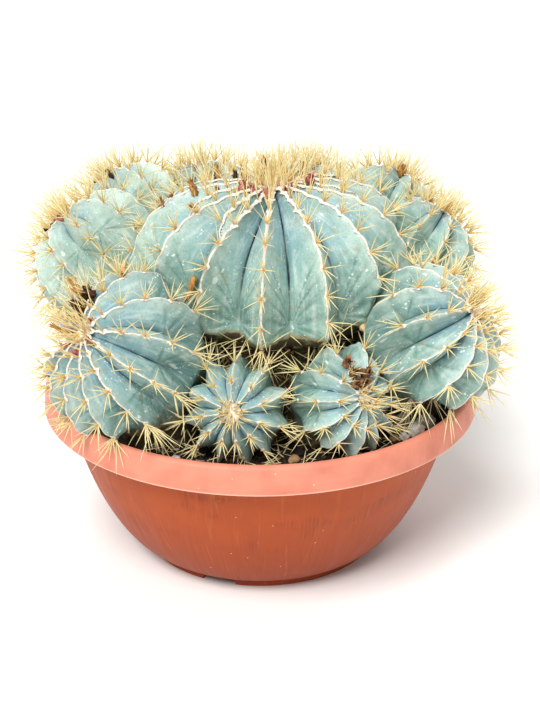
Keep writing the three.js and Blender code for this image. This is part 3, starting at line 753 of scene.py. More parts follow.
@dataclass(frozen=True)
class Bowl:
    """The moulded bowl: rolled rim, curved wall, raised floor with drainage holes, notched foot ring."""

    rim_radius: float = 225.0
    rim_low: float = 157.0
    rim_top: float = 185.5
    lip_radius: float = 214.7
    rim_taper: float = 2.5
    wall_radius: float = 200.0
    base_radius: float = 122.5
    foot_radius: float = 125.0
    foot_width: float = 11.0
    foot_height: float = 7.0
    thickness: float = 3.5
    wall_lean: float = 1.31
    wall_round: float = 1.69
    notch_count: int = 4
    notch_width: float = 33.0
    notch_first: float = -19.8
    drain_count: int = 6
    drain_radius: float = 6.0
    drain_circle: float = 72.0
    drain_sides: int = 24
    columns: int = 288

    @property
    def floor_top(self) -> float:
        """Height of the floor's upper side."""
        return self.foot_height + self.thickness

    @property
    def notch_half(self) -> float:
        """Half the angle that a notch takes up, in degrees."""
        return math.degrees(math.asin(self.notch_width / 2 / (self.foot_radius - self.foot_width / 2)))

    def wall_at(self, z: float) -> float:
        """Outside radius of the wall.

        Args:
            z: Height.

        Returns:
            The radius there.
        """
        share = (z - self.foot_height) / (self.rim_low - self.foot_height)
        curve = max(1 - (1 - share) ** self.wall_lean, 0.0) ** (1 / self.wall_round)
        return self.base_radius + (self.wall_radius - self.base_radius) * curve

    def inside_at(self, z: Array) -> Array:
        """Inside radius of the bowl, from the soil up to the lip.

        Args:
            z: Heights.

        Returns:
            The radius at each.
        """
        levels = [0.0, 50.0, 90.0, self.rim_low, self.rim_top - 5, self.rim_top]
        radii = [self.base_radius, self.wall_at(50), self.wall_at(90), self.wall_radius]
        inner = [r - self.thickness for r in radii] + [self.lip_radius - 3.5, self.lip_radius]
        return np.interp(z, levels, inner)

    @staticmethod
    def round_corner(centre: tuple[float, float], radius: float, start: float, stop: float) -> list:
        """Points on an arc of the profile.

        Args:
            centre: Radius and height of the arc's middle.
            radius: The arc's radius.
            start: Angle of the first point, in degrees from outwards.
            stop: Angle of the last point.

        Returns:
            Points as (radius, height).
        """
        angles = np.radians(np.linspace(start, stop, 6))
        return [(centre[0] + radius * math.cos(a), centre[1] + radius * math.sin(a)) for a in angles]

    def profile(self) -> list[tuple[float, float]]:
        """The bowl's section as (radius, height), up the outside and down the inside."""
        inner_foot = self.foot_radius - self.foot_width
        foot = [(0.5, self.foot_height), (60.0, self.foot_height), (84.0, self.foot_height),
                (inner_foot - 0.8, self.foot_height), (inner_foot + 0.2, self.foot_height - 1.2),
                (inner_foot + 1.0, 0.9), (inner_foot + 1.6, 0.0)]
        foot += self.round_corner((self.foot_radius - 1.2, 1.2), 1.2, -90, 0)
        foot += [(self.foot_radius, self.foot_height - 1.2), (self.foot_radius - 0.6, self.foot_height - 0.4)]
        rows = self.foot_height + (self.rim_low - self.foot_height) * np.linspace(0, 1, 26) ** 1.6
        wall = [(self.wall_at(z), z) for z in rows]
        channel = [(self.lip_radius - 8, self.rim_top - 18), (self.lip_radius - 2, self.rim_top - 8),
                   (self.lip_radius + 1.5, self.rim_top - 4.2), (self.lip_radius + 4.5, self.rim_top - 4.2),
                   (self.rim_radius - self.thickness - 1, self.rim_top - 8),
                   (self.rim_radius - self.thickness - 0.2, self.rim_low + 1)]
        lower_edge = self.round_corner((self.rim_radius - 1.3, self.rim_low + 1.2), 1.2, -140, 0)
        top = self.rim_radius - self.rim_taper
        band = [(self.rim_radius - 0.5 * self.rim_taper, self.rim_low + 14)]
        band += self.round_corner((top - 4.5, self.rim_top - 4.5), 4.5, 8, 90)
        lip = self.round_corner((self.lip_radius + 1.5, self.rim_top - 2.0), 2.0, 90, 200)
        heights = np.linspace(self.rim_top - 6, self.floor_top, 14)
        low_part = [z for z in heights if z <= 50]
        inside = [(float(self.inside_at(z)), z) for z in heights if z > 50]
        inside += [(self.wall_at(max(z, 12.0)) - self.thickness, z) for z in low_part]
        floor = [(radius, self.floor_top) for radius in (84.0, 60.0, 0.5)]
        return foot + wall + channel + lower_edge + band + lip + inside + floor

    def angles(self) -> Array:
        """Angles of the columns from the front, with close pairs at both sides of each notch."""
        middles = [self.notch_first + i * 360 / self.notch_count for i in range(self.notch_count)]
        sides = [side * self.notch_half + shift for side in (-1, 1) for shift in (-0.35, 0.35)]
        edges = [middle + side for middle in middles for side in sides]
        even = np.arange(self.columns) * 360 / self.columns
        return np.unique(np.round(np.mod(np.concatenate([even, edges]), 360), 4))

    def in_notch(self, angles: Array) -> Array:
        """Whether places fall in a notch of the foot ring.

        Args:
            angles: Their angles from the front, in degrees.

        Returns:
            One truth value for each.
        """
        pitch = 360 / self.notch_count
        off = np.abs(np.mod(angles - self.notch_first + pitch / 2, pitch) - pitch / 2)
        return off <= self.notch_half

    def build(self, bench: Bench) -> None:
        """Makes the bowl's mesh, cuts its drainage holes and dresses it.

        Args:
            bench: Where it is made.
        """
        outline = np.array(self.profile())
        angles = self.angles()
        turn = np.radians(angles)[None, :]
        radius, height = outline[:, 0][:, None], outline[:, 1][:, None] + 0 * turn
        ring = (radius > self.foot_radius - self.foot_width - 1) & (height < self.foot_height - 0.3)
        height = np.where(ring & self.in_notch(angles)[None, :], self.foot_height - 0.3, height)
        points = np.stack([radius * np.sin(turn), -radius * np.cos(turn), height], -1)
        data = MeshData()
        data.add(points, grid_quads(len(outline), len(angles), True)[:, ::-1], None)
        finish = MouldedPolypropylene(centre=(bench.axis.x, bench.axis.y))
        made = bench.piece("moulded_bowl", data, finish, ["pot"])
        self.drill(made, bench)

    def drill(self, made: bpy.types.Object, bench: Bench) -> None:
        """Cuts the drainage holes through the floor.

        Args:
            made: The bowl.
            bench: Gives the bowl's axis.
        """
        tool = bpy.data.meshes.new("drain_tool")
        points, faces = [], []
        sides = self.drain_sides
        for i in range(self.drain_count):
            turn = math.radians(i * 360 / self.drain_count)
            x, y = self.drain_circle * math.cos(turn), self.drain_circle * math.sin(turn)
            start = len(points)
            for z in (self.foot_height - 4, self.floor_top + 4):
                for a in np.linspace(0, 2 * math.pi, sides, endpoint=False):
                    reach = self.drain_radius
                    points.append(bench.place(x + reach * math.cos(a), y + reach * math.sin(a), z))
            low = range(start, start + sides)
            faces += [list(reversed(low)), [k + sides for k in low]]
            for k, after in zip(low, [*low[1:], start]):
                faces.append([k, after, after + sides, k + sides])
        tool.from_pydata(points, [], faces)
        cutter = bpy.data.objects.new("drain_tool", tool)
        bpy.context.scene.collection.objects.link(cutter)
        cut = made.modifiers.new("drains", "BOOLEAN")
        cut.operation = "DIFFERENCE"
        cut.object = cutter
        cut.solver = "EXACT"
        graph = bpy.context.evaluated_depsgraph_get()
        result = bpy.data.meshes.new_from_object(made.evaluated_get(graph))
        made.modifiers.clear()
        made.data = result
        bpy.data.objects.remove(cutter)


BOWL = Bowl()


# ---------------------------------------------------------------- the heads


@dataclass(frozen=True)
class Ribs:
    """How the ribs of a head are cut, as shares of its radius where not said otherwise."""

    depth: float = 0.29
    crown_depth: float = 0.55
    rising: float = 1.8
    flare: float = 1.15
    dip: float = 0.2
    edge_round: float = 0.035
    crease_share: float = 0.14
    crease_power: int = 14
    scallop_mm: float = 2.0
    fold_mm: float = 4.0
    fold_pitch: float = 1.0
    ray_level: float = 0.45
    fan_level: float = 0.9
    crease_end: float = 0.85
    flank_columns: int = 9

    def section(self, share: Array, level: Array, depth: Array, half: float) -> Array:
        """Depth of the skin across a flank.

        Args:
            share: 0 on the ridge, 1 in the groove.
            level: 0 at the crown, 1 at the widest level.
            depth: Depth of the groove, as a share of the radius.
            half: Half the angle between two ridges.

        Returns:
            Depth as a share of the radius: a flat flank between the two, with a crease at its foot.
        """
        worn = self.edge_round
        soft = (np.sqrt(share**2 + worn**2) - worn) / (math.sqrt(1 + worn**2) - worn)
        flat = depth * (1 - self.crease_share)
        slope = (1 / (1 - flat) - math.cos(half)) / math.sin(half)
        chord = 1 - 1 / (np.cos(half * soft) + slope * np.sin(half * soft))
        return chord + self.crease_share * depth * share**self.crease_power * (1 - self.opening(level))

    def opening(self, level: Array) -> Array:
        """How far the crease has opened into a wide fold: 0 in its sharp upper part, 1 low down."""
        return np.clip((level - self.crease_end + 0.15) / 0.3, 0, 1)

    def columns(self, ribs: int) -> Array:
        """Places round a head, counted in ribs, closer together at the ridges and in the creases."""
        half = 0.25 * (1 - np.cos(math.pi * np.arange(self.flank_columns) / self.flank_columns))
        one = np.concatenate([half, 0.5 + half])
        return (np.arange(ribs)[:, None] + one).reshape(-1)


@dataclass(frozen=True)
class Lean:
    """How one rib departs from an even round: degrees at the crown and low, reach half-way and low."""

    top: float = 0.0
    low: float = 0.0
    mid_reach: float = 0.0
    low_reach: float = 0.0


@dataclass(frozen=True)
class Fork:
    """A short rib that starts in a groove at the crown and runs into a neighbour lower down."""

    start: float
    join: int
    level: float

    def path(self, level: Array) -> Array:
        """Place of its ridge at each level, counted in ribs."""
        share = np.clip(level / self.level, 0, 1)
        return self.start + (self.join - self.start) * share**2.2

    def nearness(self, rib: Array, level: Array) -> Array:
        """Distance from its ridge, as a share of half the room that it takes."""
        away = np.abs(rib - self.path(level)) / 0.3
        return away + 10 * np.clip(level / self.level - 0.97, 0, 1)


@dataclass(frozen=True)
class Head:
    """One head of the clump, from its crown to where its neck enters the soil."""

    name: str
    at: tuple[float, float, float]
    root: tuple[float, float]
    azimuth: float
    elevation: float
    radius: float
    rise: float
    ribs: int
    spin: float
    areole_gap: float = 24.0
    crowding: float = 0.8
    felt: float = 0.5
    tuft: float = 0.7
    thatch: int = 15
    blue: float = 0.2
    # Where the hem and the corky base start down the head and over how much level they grow full; the corky
    # base is also painted shade.
    worn_and_shaded_from: float = 1.35
    worn_and_shaded_over: float = 0.3
    button: float = 0.115
    spines: float = 1.0
    shoulder: float = 0.8
    brow: float = 0.85
    neck: float = 0.72
    chin: float = 0.5
    dome_rows: int = 44
    neck_rows: int = 24
    leans: tuple[tuple[int, Lean], ...] = ()
    forks: tuple[Fork, ...] = ()
    cut: Ribs = Ribs()
    seed: int = 1
    neck_bend: float = 0.45  # how far the neck runs straight before it turns down, as a share of its length
    underside: float = 0.9  # depth of a head below its widest level, as a share of the radius
    root_depth: float = 12.0  # how far below the soil's level a neck ends

    @property
    def centre(self) -> Array:
        """Middle of the widest level."""
        return np.array(self.at, float)

    @property
    def axis(self) -> Array:
        """Direction from the centre to the crown."""
        a, e = math.radians(self.azimuth), math.radians(self.elevation)
        return np.array([math.cos(e) * math.cos(a), math.cos(e) * math.sin(a), math.sin(e)])

    @property
    def side(self) -> Array:
        """Level direction across the axis."""
        return unit(np.cross(UP, self.axis))

    def neck_line(self, t: Array) -> tuple[Array, Array, float]:
        """The neck's middle line.

        Args:
            t: Places from 0 at the widest level to 1 at the root.

        Returns:
            Points, directions back towards the head, and the length of the whole line.
        """
        start = self.centre
        end = np.array([*self.root, SOIL_LEVEL - self.root_depth])
        bend = start - self.neck_bend * np.linalg.norm(end - start) * self.axis
        t = np.asarray(t, float)[..., None]
        points = (1 - t) ** 2 * start + 2 * t * (1 - t) * bend + t**2 * end
        slope = 2 * (1 - t) * (bend - start) + 2 * t * (end - bend)
        fine = np.linspace(0, 1, 60)[:, None]
        curve = (1 - fine) ** 2 * start + 2 * fine * (1 - fine) * bend + fine**2 * end
        length = float(np.linalg.norm(np.diff(curve, axis=0), axis=1).sum())
        return points, -unit(slope), length

    def depth(self, points: Array) -> Array:
        """How deep points lie in the head.

        Args:
            points: The points.

        Returns:
            0 for one at the head's centre, 1 for one on its ridges.
        """
        away = points - self.centre
        along = away @ self.axis
        across = np.sqrt(np.maximum((away * away).sum(-1) - along**2, 0))
        rise = np.where(along > 0, self.rise, self.underside * self.radius)
        return np.hypot(across / self.radius, along / rise)

    def groove(self, level: Array) -> Array:
        """Depth of the grooves.

        Args:
            level: 0 at the crown, 1 at the widest level.

        Returns:
            The depth at each level, as a share of the radius.
        """
        rising = np.sin(np.minimum(level, 1) * math.pi / 2) ** self.cut.rising
        fading = np.exp(-((self.cut.flare * self.drop(level)) ** 2))
        return (self.cut.crown_depth + (self.cut.depth - self.cut.crown_depth) * rising) * fading

    def drop(self, level: Array) -> Array:
        """Distance below the widest level along the neck, in chins."""
        length = self.neck_line(np.zeros(1))[2]
        return np.maximum(np.asarray(level, float) - 1, 0) * length / (self.chin * self.radius)

    def rib_leans(self) -> Array:
        """How far each rib departs from an even round.

        Returns:
            One row per rib, with the values of a Lean.
        """
        rng = np.random.default_rng(self.seed)
        rows = rng.normal(0, 1, (self.ribs, 4)) * np.array([2.2, 1.0, 0.014, 0.01])
        for rib, lean in self.leans:
            rows[rib] = (lean.top, lean.low, lean.mid_reach, lean.low_reach)
        return rows

    def rib_turn(self, rib: Array, level: Array) -> tuple[Array, Array]:
        """Where a place given in ribs lies round the axis.

        Args:
            rib: Places counted in ribs.
            level: Their levels.

        Returns:
            The angle round the axis and the factor on the radius.
        """
        rows = self.rib_leans()
        whole = np.floor(rib + 1e-9).astype(int)
        part = (rib - whole)[..., None]
        own = rows[whole % self.ribs] * (1 - part) + rows[(whole + 1) % self.ribs] * part
        t = np.clip(level, 0, 1)
        lean = own[..., 0] * (1 - t) + own[..., 1] * t
        reach = 1 + own[..., 2] * np.sin(math.pi * t) + own[..., 3] * t**2
        return np.radians(self.spin + lean) + rib * 2 * math.pi / self.ribs, reach

    def shell(self, level: Array, rib: Array, cut: Array) -> Array:
        """Points on the head before the finer unevenness.

        Args:
            level: 0 at the crown, 1 at the widest level, 2 at the root.
            rib: Place round the head, counted in ribs.
            cut: How far in from the ridge, as a share of the radius.

        Returns:
            The points, with the broadcast shape of the arguments and a last axis of three.
        """
        level, rib, cut = np.broadcast_arrays(level, rib, cut)
        tilt = np.minimum(level, 1) * math.pi / 2
        radius = self.radius * np.sin(tilt) ** self.shoulder
        rise = self.rise * np.cos(tilt) ** self.brow * (1 - self.cut.dip * cut)
        line, lean, _ = self.neck_line(np.clip(level - 1, 0, 1))
        waist = np.exp(-(self.drop(level) ** 3))
        radius = np.where(level > 1, self.radius * (self.neck + (1 - self.neck) * waist), radius)
        lean = np.where((level > 1)[..., None], lean, self.axis)
        middle = np.where((level > 1)[..., None], line, self.centre + rise[..., None] * self.axis)
        flat = unit(self.side - (lean @ self.side)[..., None] * lean)
        across = np.cross(lean, flat)
        turn, reach = self.rib_turn(rib, level)
        reach = (radius * reach * (1 - cut))[..., None]
        return middle + reach * (flat * np.cos(turn)[..., None] + across * np.sin(turn)[..., None])

    def areole_levels(self) -> tuple[Array, Array]:
        """Levels of the areoles down a rib, and their order from the crown as the scallops count them."""
        fine = np.linspace(0.01, 1.75, 500)
        line = self.shell(fine, np.zeros(1), np.zeros(1))
        arc = np.concatenate([[0], np.cumsum(np.linalg.norm(np.diff(line, axis=0), axis=1))])
        places = [0.3 * self.areole_gap]
        while places[-1] < arc[-1]:
            order = len(places)
            places.append(places[-1] + self.areole_gap * (1 - self.crowding * math.exp(-order / 2.4)))
        places = np.array(places[:-1])
        return np.interp(places, arc, fine), np.arange(len(places))

    def skin(self, level: Array, rib: Array) -> tuple[Array, Array, Array]:
        """Points of the finished skin.

        Args:
            level: 0 at the crown, 1 at the widest level, 2 at the root.
            rib: Place round the head, counted in ribs.

        Returns:
            The points, how far each is from its ridge (1 in the groove) and its place across the folds.
        """
        level, rib = np.broadcast_arrays(np.asarray(level, float), np.asarray(rib, float))
        part = rib - np.floor(rib + 1e-9)
        share = 1 - np.abs(2 * part - 1)
        for fork in self.forks:
            share = np.minimum(share, np.minimum(fork.nearness(rib, level), 1.0))
        section = self.cut.section(share, level, self.groove(level), math.pi / self.ribs)
        points = self.shell(level, rib, section)
        places, order = self.areole_levels()
        count = np.interp(level, places, order, left=-0.5)
        shown = np.clip(level * 4, 0, 1) * np.clip(3 - 2 * level, 0, 1)
        outward = unit(points - self.centre)
        on_ridge = np.exp(-((share / 0.2) ** 2))
        swell = self.cut.scallop_mm * on_ridge * shown * (np.sin(math.pi * count) ** 2 - 0.4)
        fan = self.cut.fan_level
        reached = fan + (level - fan) / np.maximum(1 - share, 0.1)
        first_ray = np.interp(self.cut.ray_level, places, order)
        rays = np.interp(np.maximum(reached, self.cut.ray_level), places, order)
        fold = (rays - first_ray) / self.cut.fold_pitch + 0.5
        low_down = np.clip((level - 0.25) * 2.5, 0, 1) * np.clip((reached - self.cut.ray_level) * 5, 0, 1)
        folds = (np.abs(np.sin(math.pi * fold)) ** 0.8 - 0.6) * low_down * np.clip(7 - 4 * reached, 0, 1)
        high = self.cut.fold_mm * (0.45 + 0.55 * self.radius / LARGEST_RADIUS)
        swell = swell + high * folds * shown * share * (1 - share**4) * 1.7
        swell = swell + 0.010 * self.radius * Waves(self.seed, 0.9 * self.radius).at(points)
        swell = swell + 0.004 * self.radius * Waves(self.seed + 50, 0.28 * self.radius).at(points)
        return points + outward * swell[..., None], share, fold


SOIL_LEVEL = 166.0
LARGEST_RADIUS = 142.0  # of the main head

# The leans are angles read off the photograph.
MAIN_LEANS = (
    (0, Lean(0.9, -0.6, -0.02, 0.03)),
    (1, Lean(-5.3, -2.3, 0.02, 0.0)),
    (2, Lean(-6.4, 1.4, -0.06, -0.05)),
    (3, Lean(-4.2, 2.0, -0.03, -0.01)),
    (4, Lean(11.2, 7.6, 0.07, -0.01)),
    (10, Lean(-12.1, -0.2, -0.03, 0.05)),
    (11, Lean(8.1, 2.7, 0.01, -0.02)),
    (12, Lean(15.3, -0.9, 0.08, -0.05)),
)

LEFT_FRONT_LEANS = (
    (0, Lean(16, 1)), (4, Lean(21, 6)), (5, Lean(7, 6)), (6, Lean(2, 2)), (7, Lean(-1, -2)),
    (8, Lean(-9, -5)), (9, Lean(-12, -8)), (10, Lean(-11, -9)), (11, Lean(2, -8)),
)
RIGHT_FRONT_LEANS = (
    (5, Lean(-6, 3)), (6, Lean(6, -1)), (7, Lean(10, -1)), (8, Lean(5, -2)), (9, Lean(-2, -2)),
    (10, Lean(-8, -1)),
)
LEFT_PUP_LEANS = (
    (0, Lean(-10, -7)), (1, Lean(-12, -4)), (2, Lean(-10, 0)), (3, Lean(-4, 1)), (4, Lean(6, 0)),
    (5, Lean(9, 0)), (6, Lean(2, 7)), (7, Lean(4, 8)), (8, Lean(3, 8)), (9, Lean(0, 3)),
    (10, Lean(-8, 3)),
)
RIGHT_PUP_LEANS = (
    (0, Lean(-14, 1)), (1, Lean(-9, -10)), (2, Lean(-2, -3)), (3, Lean(-8, -7)), (4, Lean(8, -1)),
    (5, Lean(-1, 4)), (6, Lean(10, 3)), (7, Lean(10, 5)), (8, Lean(8, 0)), (9, Lean(8, 1)),
    (10, Lean(1, -2)), (11, Lean(-2, -2)),
)

DEEP = Ribs(depth=0.34, fold_mm=2.5, ray_level=0.8)
PUP = Ribs(depth=0.36, crown_depth=0.56, ray_level=0.7)
FRONT = partial(Ribs, depth=0.37, crease_end=1.0)
BACK_HEAD = partial(Head, areole_gap=22, crowding=0.7, spines=1.2, chin=0.7, cut=DEEP)
FRONT_PUP = partial(Head, felt=0.3, cut=PUP)
SMALL_PUP = partial(Head, areole_gap=24, crowding=0.4, tuft=0.4)

HEADS = (
    Head("main", (14, 0, 284), (14, 4), 90, 89.9, LARGEST_RADIUS, 104, 13, 85.7, areole_gap=28, felt=1.5,
         tuft=0.8, thatch=700, worn_and_shaded_from=1.07, worn_and_shaded_over=0.05, shoulder=0.69, brow=0.74, neck=0.62, chin=0.22,
         dome_rows=120, neck_rows=40, leans=MAIN_LEANS,
         forks=(Fork(11.5, 12, 0.5), Fork(10.5, 11, 0.42), Fork(3.55, 3, 0.34), Fork(6.5, 7, 0.45)),
         cut=Ribs(flank_columns=18, fan_level=1.03, crease_end=0.95, fold_pitch=0.8, ray_level=0.52),
         seed=11),
    Head("left_front", (-129, -118, 252), (-104, -82), 221, 39, 84, 60, 12, 91, areole_gap=30, felt=0.8,
         blue=1.0, shoulder=0.83, brow=0.97, leans=LEFT_FRONT_LEANS,
         cut=FRONT(crown_depth=0.54, ray_level=0.6), seed=12),
    Head("right_front", (164, -82, 253), (150, -40), -23, 40.5, 75, 61, 12, 333, areole_gap=29, felt=0.7,
         blue=0.6, tuft=0.6, shoulder=0.82, brow=0.79, neck=0.5, leans=RIGHT_FRONT_LEANS,
         cut=FRONT(crown_depth=0.52, ray_level=0.5), seed=13),
    BACK_HEAD("left_back", (-170, 58, 294), (-124, 24), 158, 41, 72, 54, 11, 37, blue=-0.6, neck=0.78,
              seed=14),
    BACK_HEAD("right_back", (172, 95, 290), (136, 56), 26, 51, 60, 44, 11, 196, neck=0.8, seed=15),
    BACK_HEAD("back_left", (-140, 128, 312), (-104, 88), 142, 46, 62, 50, 11, 173, blue=-0.5, neck=0.8,
              seed=16),
    BACK_HEAD("back_right", (135, 150, 308), (92, 112), 48, 50, 58, 48, 11, 10, neck=0.84, seed=17),
    BACK_HEAD("back_mid_left", (-62, 182, 298), (-44, 128), 108, 52, 64, 54, 12, 20, neck=0.84, seed=18),
    BACK_HEAD("back_mid_right", (50, 188, 296), (30, 128), 78, 52, 62, 54, 12, 5, neck=0.84, seed=19),
    FRONT_PUP("front_left_pup", (-22, -153, 212), (-17, -118), 264, 21, 53, 38, 11, 317.5, areole_gap=27,
              crowding=0.45, blue=0.5, tuft=1.1, button=0.17, shoulder=0.85, brow=0.87, leans=LEFT_PUP_LEANS,
              seed=20),
    FRONT_PUP("front_right_pup", (83, -138, 216), (74, -104), 305, 22, 55, 32, 12, 344, areole_gap=25,
              crowding=0.3, blue=0.4, tuft=0.6, shoulder=0.8, brow=0.77, leans=RIGHT_PUP_LEANS, seed=21),
    SMALL_PUP("back_pup", (-6, 181, 208), (-6, 154), 92, 32, 46, 33, 10, 8, seed=22),
    SMALL_PUP("left_pup", (-171, 62, 207), (-150, 54), 162, 30, 42, 31, 10, 0, seed=23),
    SMALL_PUP("right_pup", (179, 18, 209), (158, 14), 5, 34, 44, 32, 10, 15, seed=24),
)


class Crowd:
    """The room that the heads share with one another and with the bowl's rim."""

    halvings: int = 11  # steps of the search for the surface where two heads meet

    def press(self, head: Head, points: Array) -> Array:
        """Draws a head's points back where another head presses on it, and off the bowl's rim.

        Args:
            head: The head that the points belong to.
            points: Its points.

        Returns:
            The moved points.
        """
        shape = points.shape
        flat = points.reshape(-1, 3)
        blocked = ~self.free(head, flat)
        if blocked.any():
            near, far = np.zeros(blocked.sum()), np.ones(blocked.sum())
            target = flat[blocked]
            for _ in range(self.halvings):
                middle = (near + far) / 2
                fine = self.free(head, head.centre + (target - head.centre) * middle[:, None])
                near = np.where(fine, middle, near)
                far = np.where(fine, far, middle)
            flat = flat.copy()
            flat[blocked] = head.centre + (target - head.centre) * near[:, None]
        return self.off_rim(flat).reshape(shape)

    @staticmethod
    def free(head: Head, points: Array) -> Array:
        """Whether points lie deeper in their own head than in any other.

        Args:
            head: The head they belong to.
            points: The points.

        Returns:
            One truth value per point.
        """
        own = head.depth(points)
        clear = np.ones(len(points), bool)
        for other in HEADS:
            apart = np.linalg.norm(other.centre - head.centre)
            if other is head or apart > 2.4 * (other.radius + head.radius):
                continue
            depth = other.depth(points)
            clear &= (depth >= 1) | (depth > own + 0.01)
        return clear

    @staticmethod
    def off_rim(points: Array) -> Array:
        """Lifts points off the top of the rim, or moves them in from the inside of the wall.

        Args:
            points: The points.

        Returns:
            The moved points.
        """
        radius = np.hypot(points[:, 0], points[:, 1])
        inner = BOWL.inside_at(points[:, 2]) - 1.0
        top = BOWL.rim_top + 0.8
        struck = (points[:, 2] < top) & (radius > inner) & (radius < BOWL.rim_radius + 1)
        upwards = struck & (top - points[:, 2] < radius - inner)
        inwards = struck & ~upwards
        moved = points.copy()
        moved[upwards, 2] = top
        moved[inwards, :2] *= (inner / np.maximum(radius, 1e-6))[inwards, None]
        return moved

    @staticmethod
    def open_at(head: Head, points: Array, margin: float) -> Array:
        """Whether points are clear of every other head, of the soil and of the rim.

        Args:
            head: The head they belong to.
            points: The points.
            margin: Least depth that they may have in another head.

        Returns:
            One truth value per point.
        """
        radius = np.hypot(points[:, 0], points[:, 1])
        clear = points[:, 2] > soil_height(points[:, 0], points[:, 1]) + 1
        over_wall = (radius > BOWL.inside_at(points[:, 2]) - 1) & (radius < BOWL.rim_radius)
        clear &= ~(over_wall & (points[:, 2] < BOWL.rim_top))
        for other in HEADS:
            if other is not head:
                clear &= other.depth(points) > margin
        return clear


CROWD = Crowd()


class Planting:
    """Dresses one head: its skin, its felt ridges, its spines and its crown."""

    spine_length: float = 30.0
    spine_radius: float = 0.66
    full_grown: float = 79.0  # radius of a head from which on its spines and felt are of full size

    def __init__(self, head: Head, bench: Bench) -> None:
        """Keeps the head and where its pieces are made."""
        self.head = head
        self.bench = bench
        self.rng = np.random.default_rng(head.seed + 100)
        self.small = min(1.0, 0.55 + 0.45 * head.radius / self.full_grown)
        self.spine_width = self.spine_radius * (0.75 + 0.25 * self.small)

    def build(self) -> None:
        """Makes every piece of the head."""
        name = self.head.name
        self.bench.piece(f"cactus_{name}_skin", self.skin_mesh(), WaxyCactusSkin(), [f"stem_{name}"])
        self.bench.piece(f"cactus_{name}_felt", self.felt_mesh(), AreoleFelt(), [])
        self.bench.piece(f"cactus_{name}_spines", self.spine_mesh(), GoldenSpine(), [f"spines_{name}"])

    def skin_mesh(self) -> MeshData:
        """The ribbed skin as one grid closed at the crown."""
        head = self.head
        dome = np.linspace(0.015, 1, head.dome_rows) ** 1.1
        neck = 1 + np.linspace(0, 1, head.neck_rows + 1)[1:] ** 1.3
        levels = np.concatenate([dome, neck])[:, None]
        rib = head.cut.columns(head.ribs)[None, :]
        points, share, fold = head.skin(levels, rib)
        points = CROWD.press(head, points)
        crown = head.centre + head.axis * head.rise * 0.97
        wide = np.broadcast_to(levels, share.shape)
        values = {
            "valley": share * (1 - 0.1 * head.cut.opening(wide)),
            "level": wide,
            "around": np.broadcast_to(2 * math.pi * head.radius * rib / head.ribs, share.shape),
            "down": np.broadcast_to(1.25 * head.radius * levels, share.shape),
            "fold": fold,
            # worn: share of the corky base band, which the skin's finish also darkens as painted shade.
            "worn": np.clip((wide - head.worn_and_shaded_from) / head.worn_and_shaded_over, 0, 1),
        }
        at_crown = {key: np.append(value.reshape(-1), 0.0) for key, value in values.items()}
        column = np.arange(rib.shape[1])
        cap = np.stack([0 * column + share.size, column, (column + 1) % len(column)], -1)
        data = MeshData()
        grid = grid_quads(len(levels), len(column), True)
        data.add(np.concatenate([points.reshape(-1, 3), crown[None]]), grid, cap, tint=head.blue, **at_crown)
        return data

    def ridge(self, rib: int | Fork, levels: Array) -> tuple[Array, Array, Array]:
        """A line along the crest of a rib.

        Args:
            rib: Number of the rib, or a short rib.
            levels: Levels of its points.

        Returns:
            Points, outward directions and directions round the head.
        """
        head = self.head
        path = rib.path(levels) if isinstance(rib, Fork) else np.full(len(levels), float(rib))
        crest = CROWD.press(head, head.skin(levels, path)[0])
        beside = [CROWD.press(head, head.skin(levels, path + side)[0]) for side in (-0.12, 0.12)]
        along = unit(np.gradient(crest, axis=0))
        across = unit(beside[1] - beside[0])
        out = unit(np.cross(across, along))
        flip = np.sign((out * (crest - head.centre)).sum(-1, keepdims=True))
        return crest, out * np.where(flip == 0, 1, flip), across

    def felt_mesh(self) -> MeshData:
        """A low woolly strip along every ridge, wider and higher at each areole, and the crown's wool."""
        head = self.head
        data = MeshData()
        places, _ = head.areole_levels()
        across_shape = np.linspace(-1, 1, 7)
        lift_shape = 1 - across_shape**2
        for number, rib in enumerate([*range(head.ribs), *head.forks]):
            last = rib.level if isinstance(rib, Fork) else min(places[-1] + 0.03, 1.55)
            levels = np.linspace(0.03, last, int(100 * last))
            crest, out, across = self.ridge(rib, levels)
            arc = np.concatenate([[0], np.cumsum(np.linalg.norm(np.diff(crest, axis=0), axis=1))])
            spots = np.interp(places, levels, arc)
            near = np.exp(-(((arc[:, None] - spots[None, :]) / (2.5 * self.small)) ** 2)).max(1)
            coarse, fine = Waves(head.seed + number, 6.0), Waves(head.seed + 300 + number, 2.6)
            ragged = 1 + 0.35 * coarse.at(crest) + 0.2 * fine.at(crest)
            fade = np.clip((1.5 - levels) * 4, 0.15, 1)
            crown = np.clip(1.15 - levels, 0, 1) * head.felt
            half = (0.5 * math.sqrt(head.felt) * fade + 0.75 * crown**1.5 + 1.7 * near) * ragged * self.small
            high = (0.5 * fade + 0.5 * crown + 0.9 * near) * self.small
            strip = crest[:, None] + across[:, None] * (half[:, None] * across_shape)[..., None]
            strip = strip + out[:, None] * (high[:, None] * lift_shape - 0.45)[..., None]
            data.add(
                strip, grid_quads(len(levels), len(across_shape), False),
                areole=near[:, None] * (1 - 0.6 * np.abs(across_shape)),
                age=np.clip(levels - 0.2, 0, 1.2)[:, None] + 0 * across_shape,
            )
        self.add_button(data)
        return data

    def around_crown(self, turn: Array) -> Array:
        """Directions level with the crown at angles round the head's axis."""
        head = self.head
        return head.side * np.cos(turn)[..., None] + np.cross(head.axis, head.side) * np.sin(turn)[..., None]

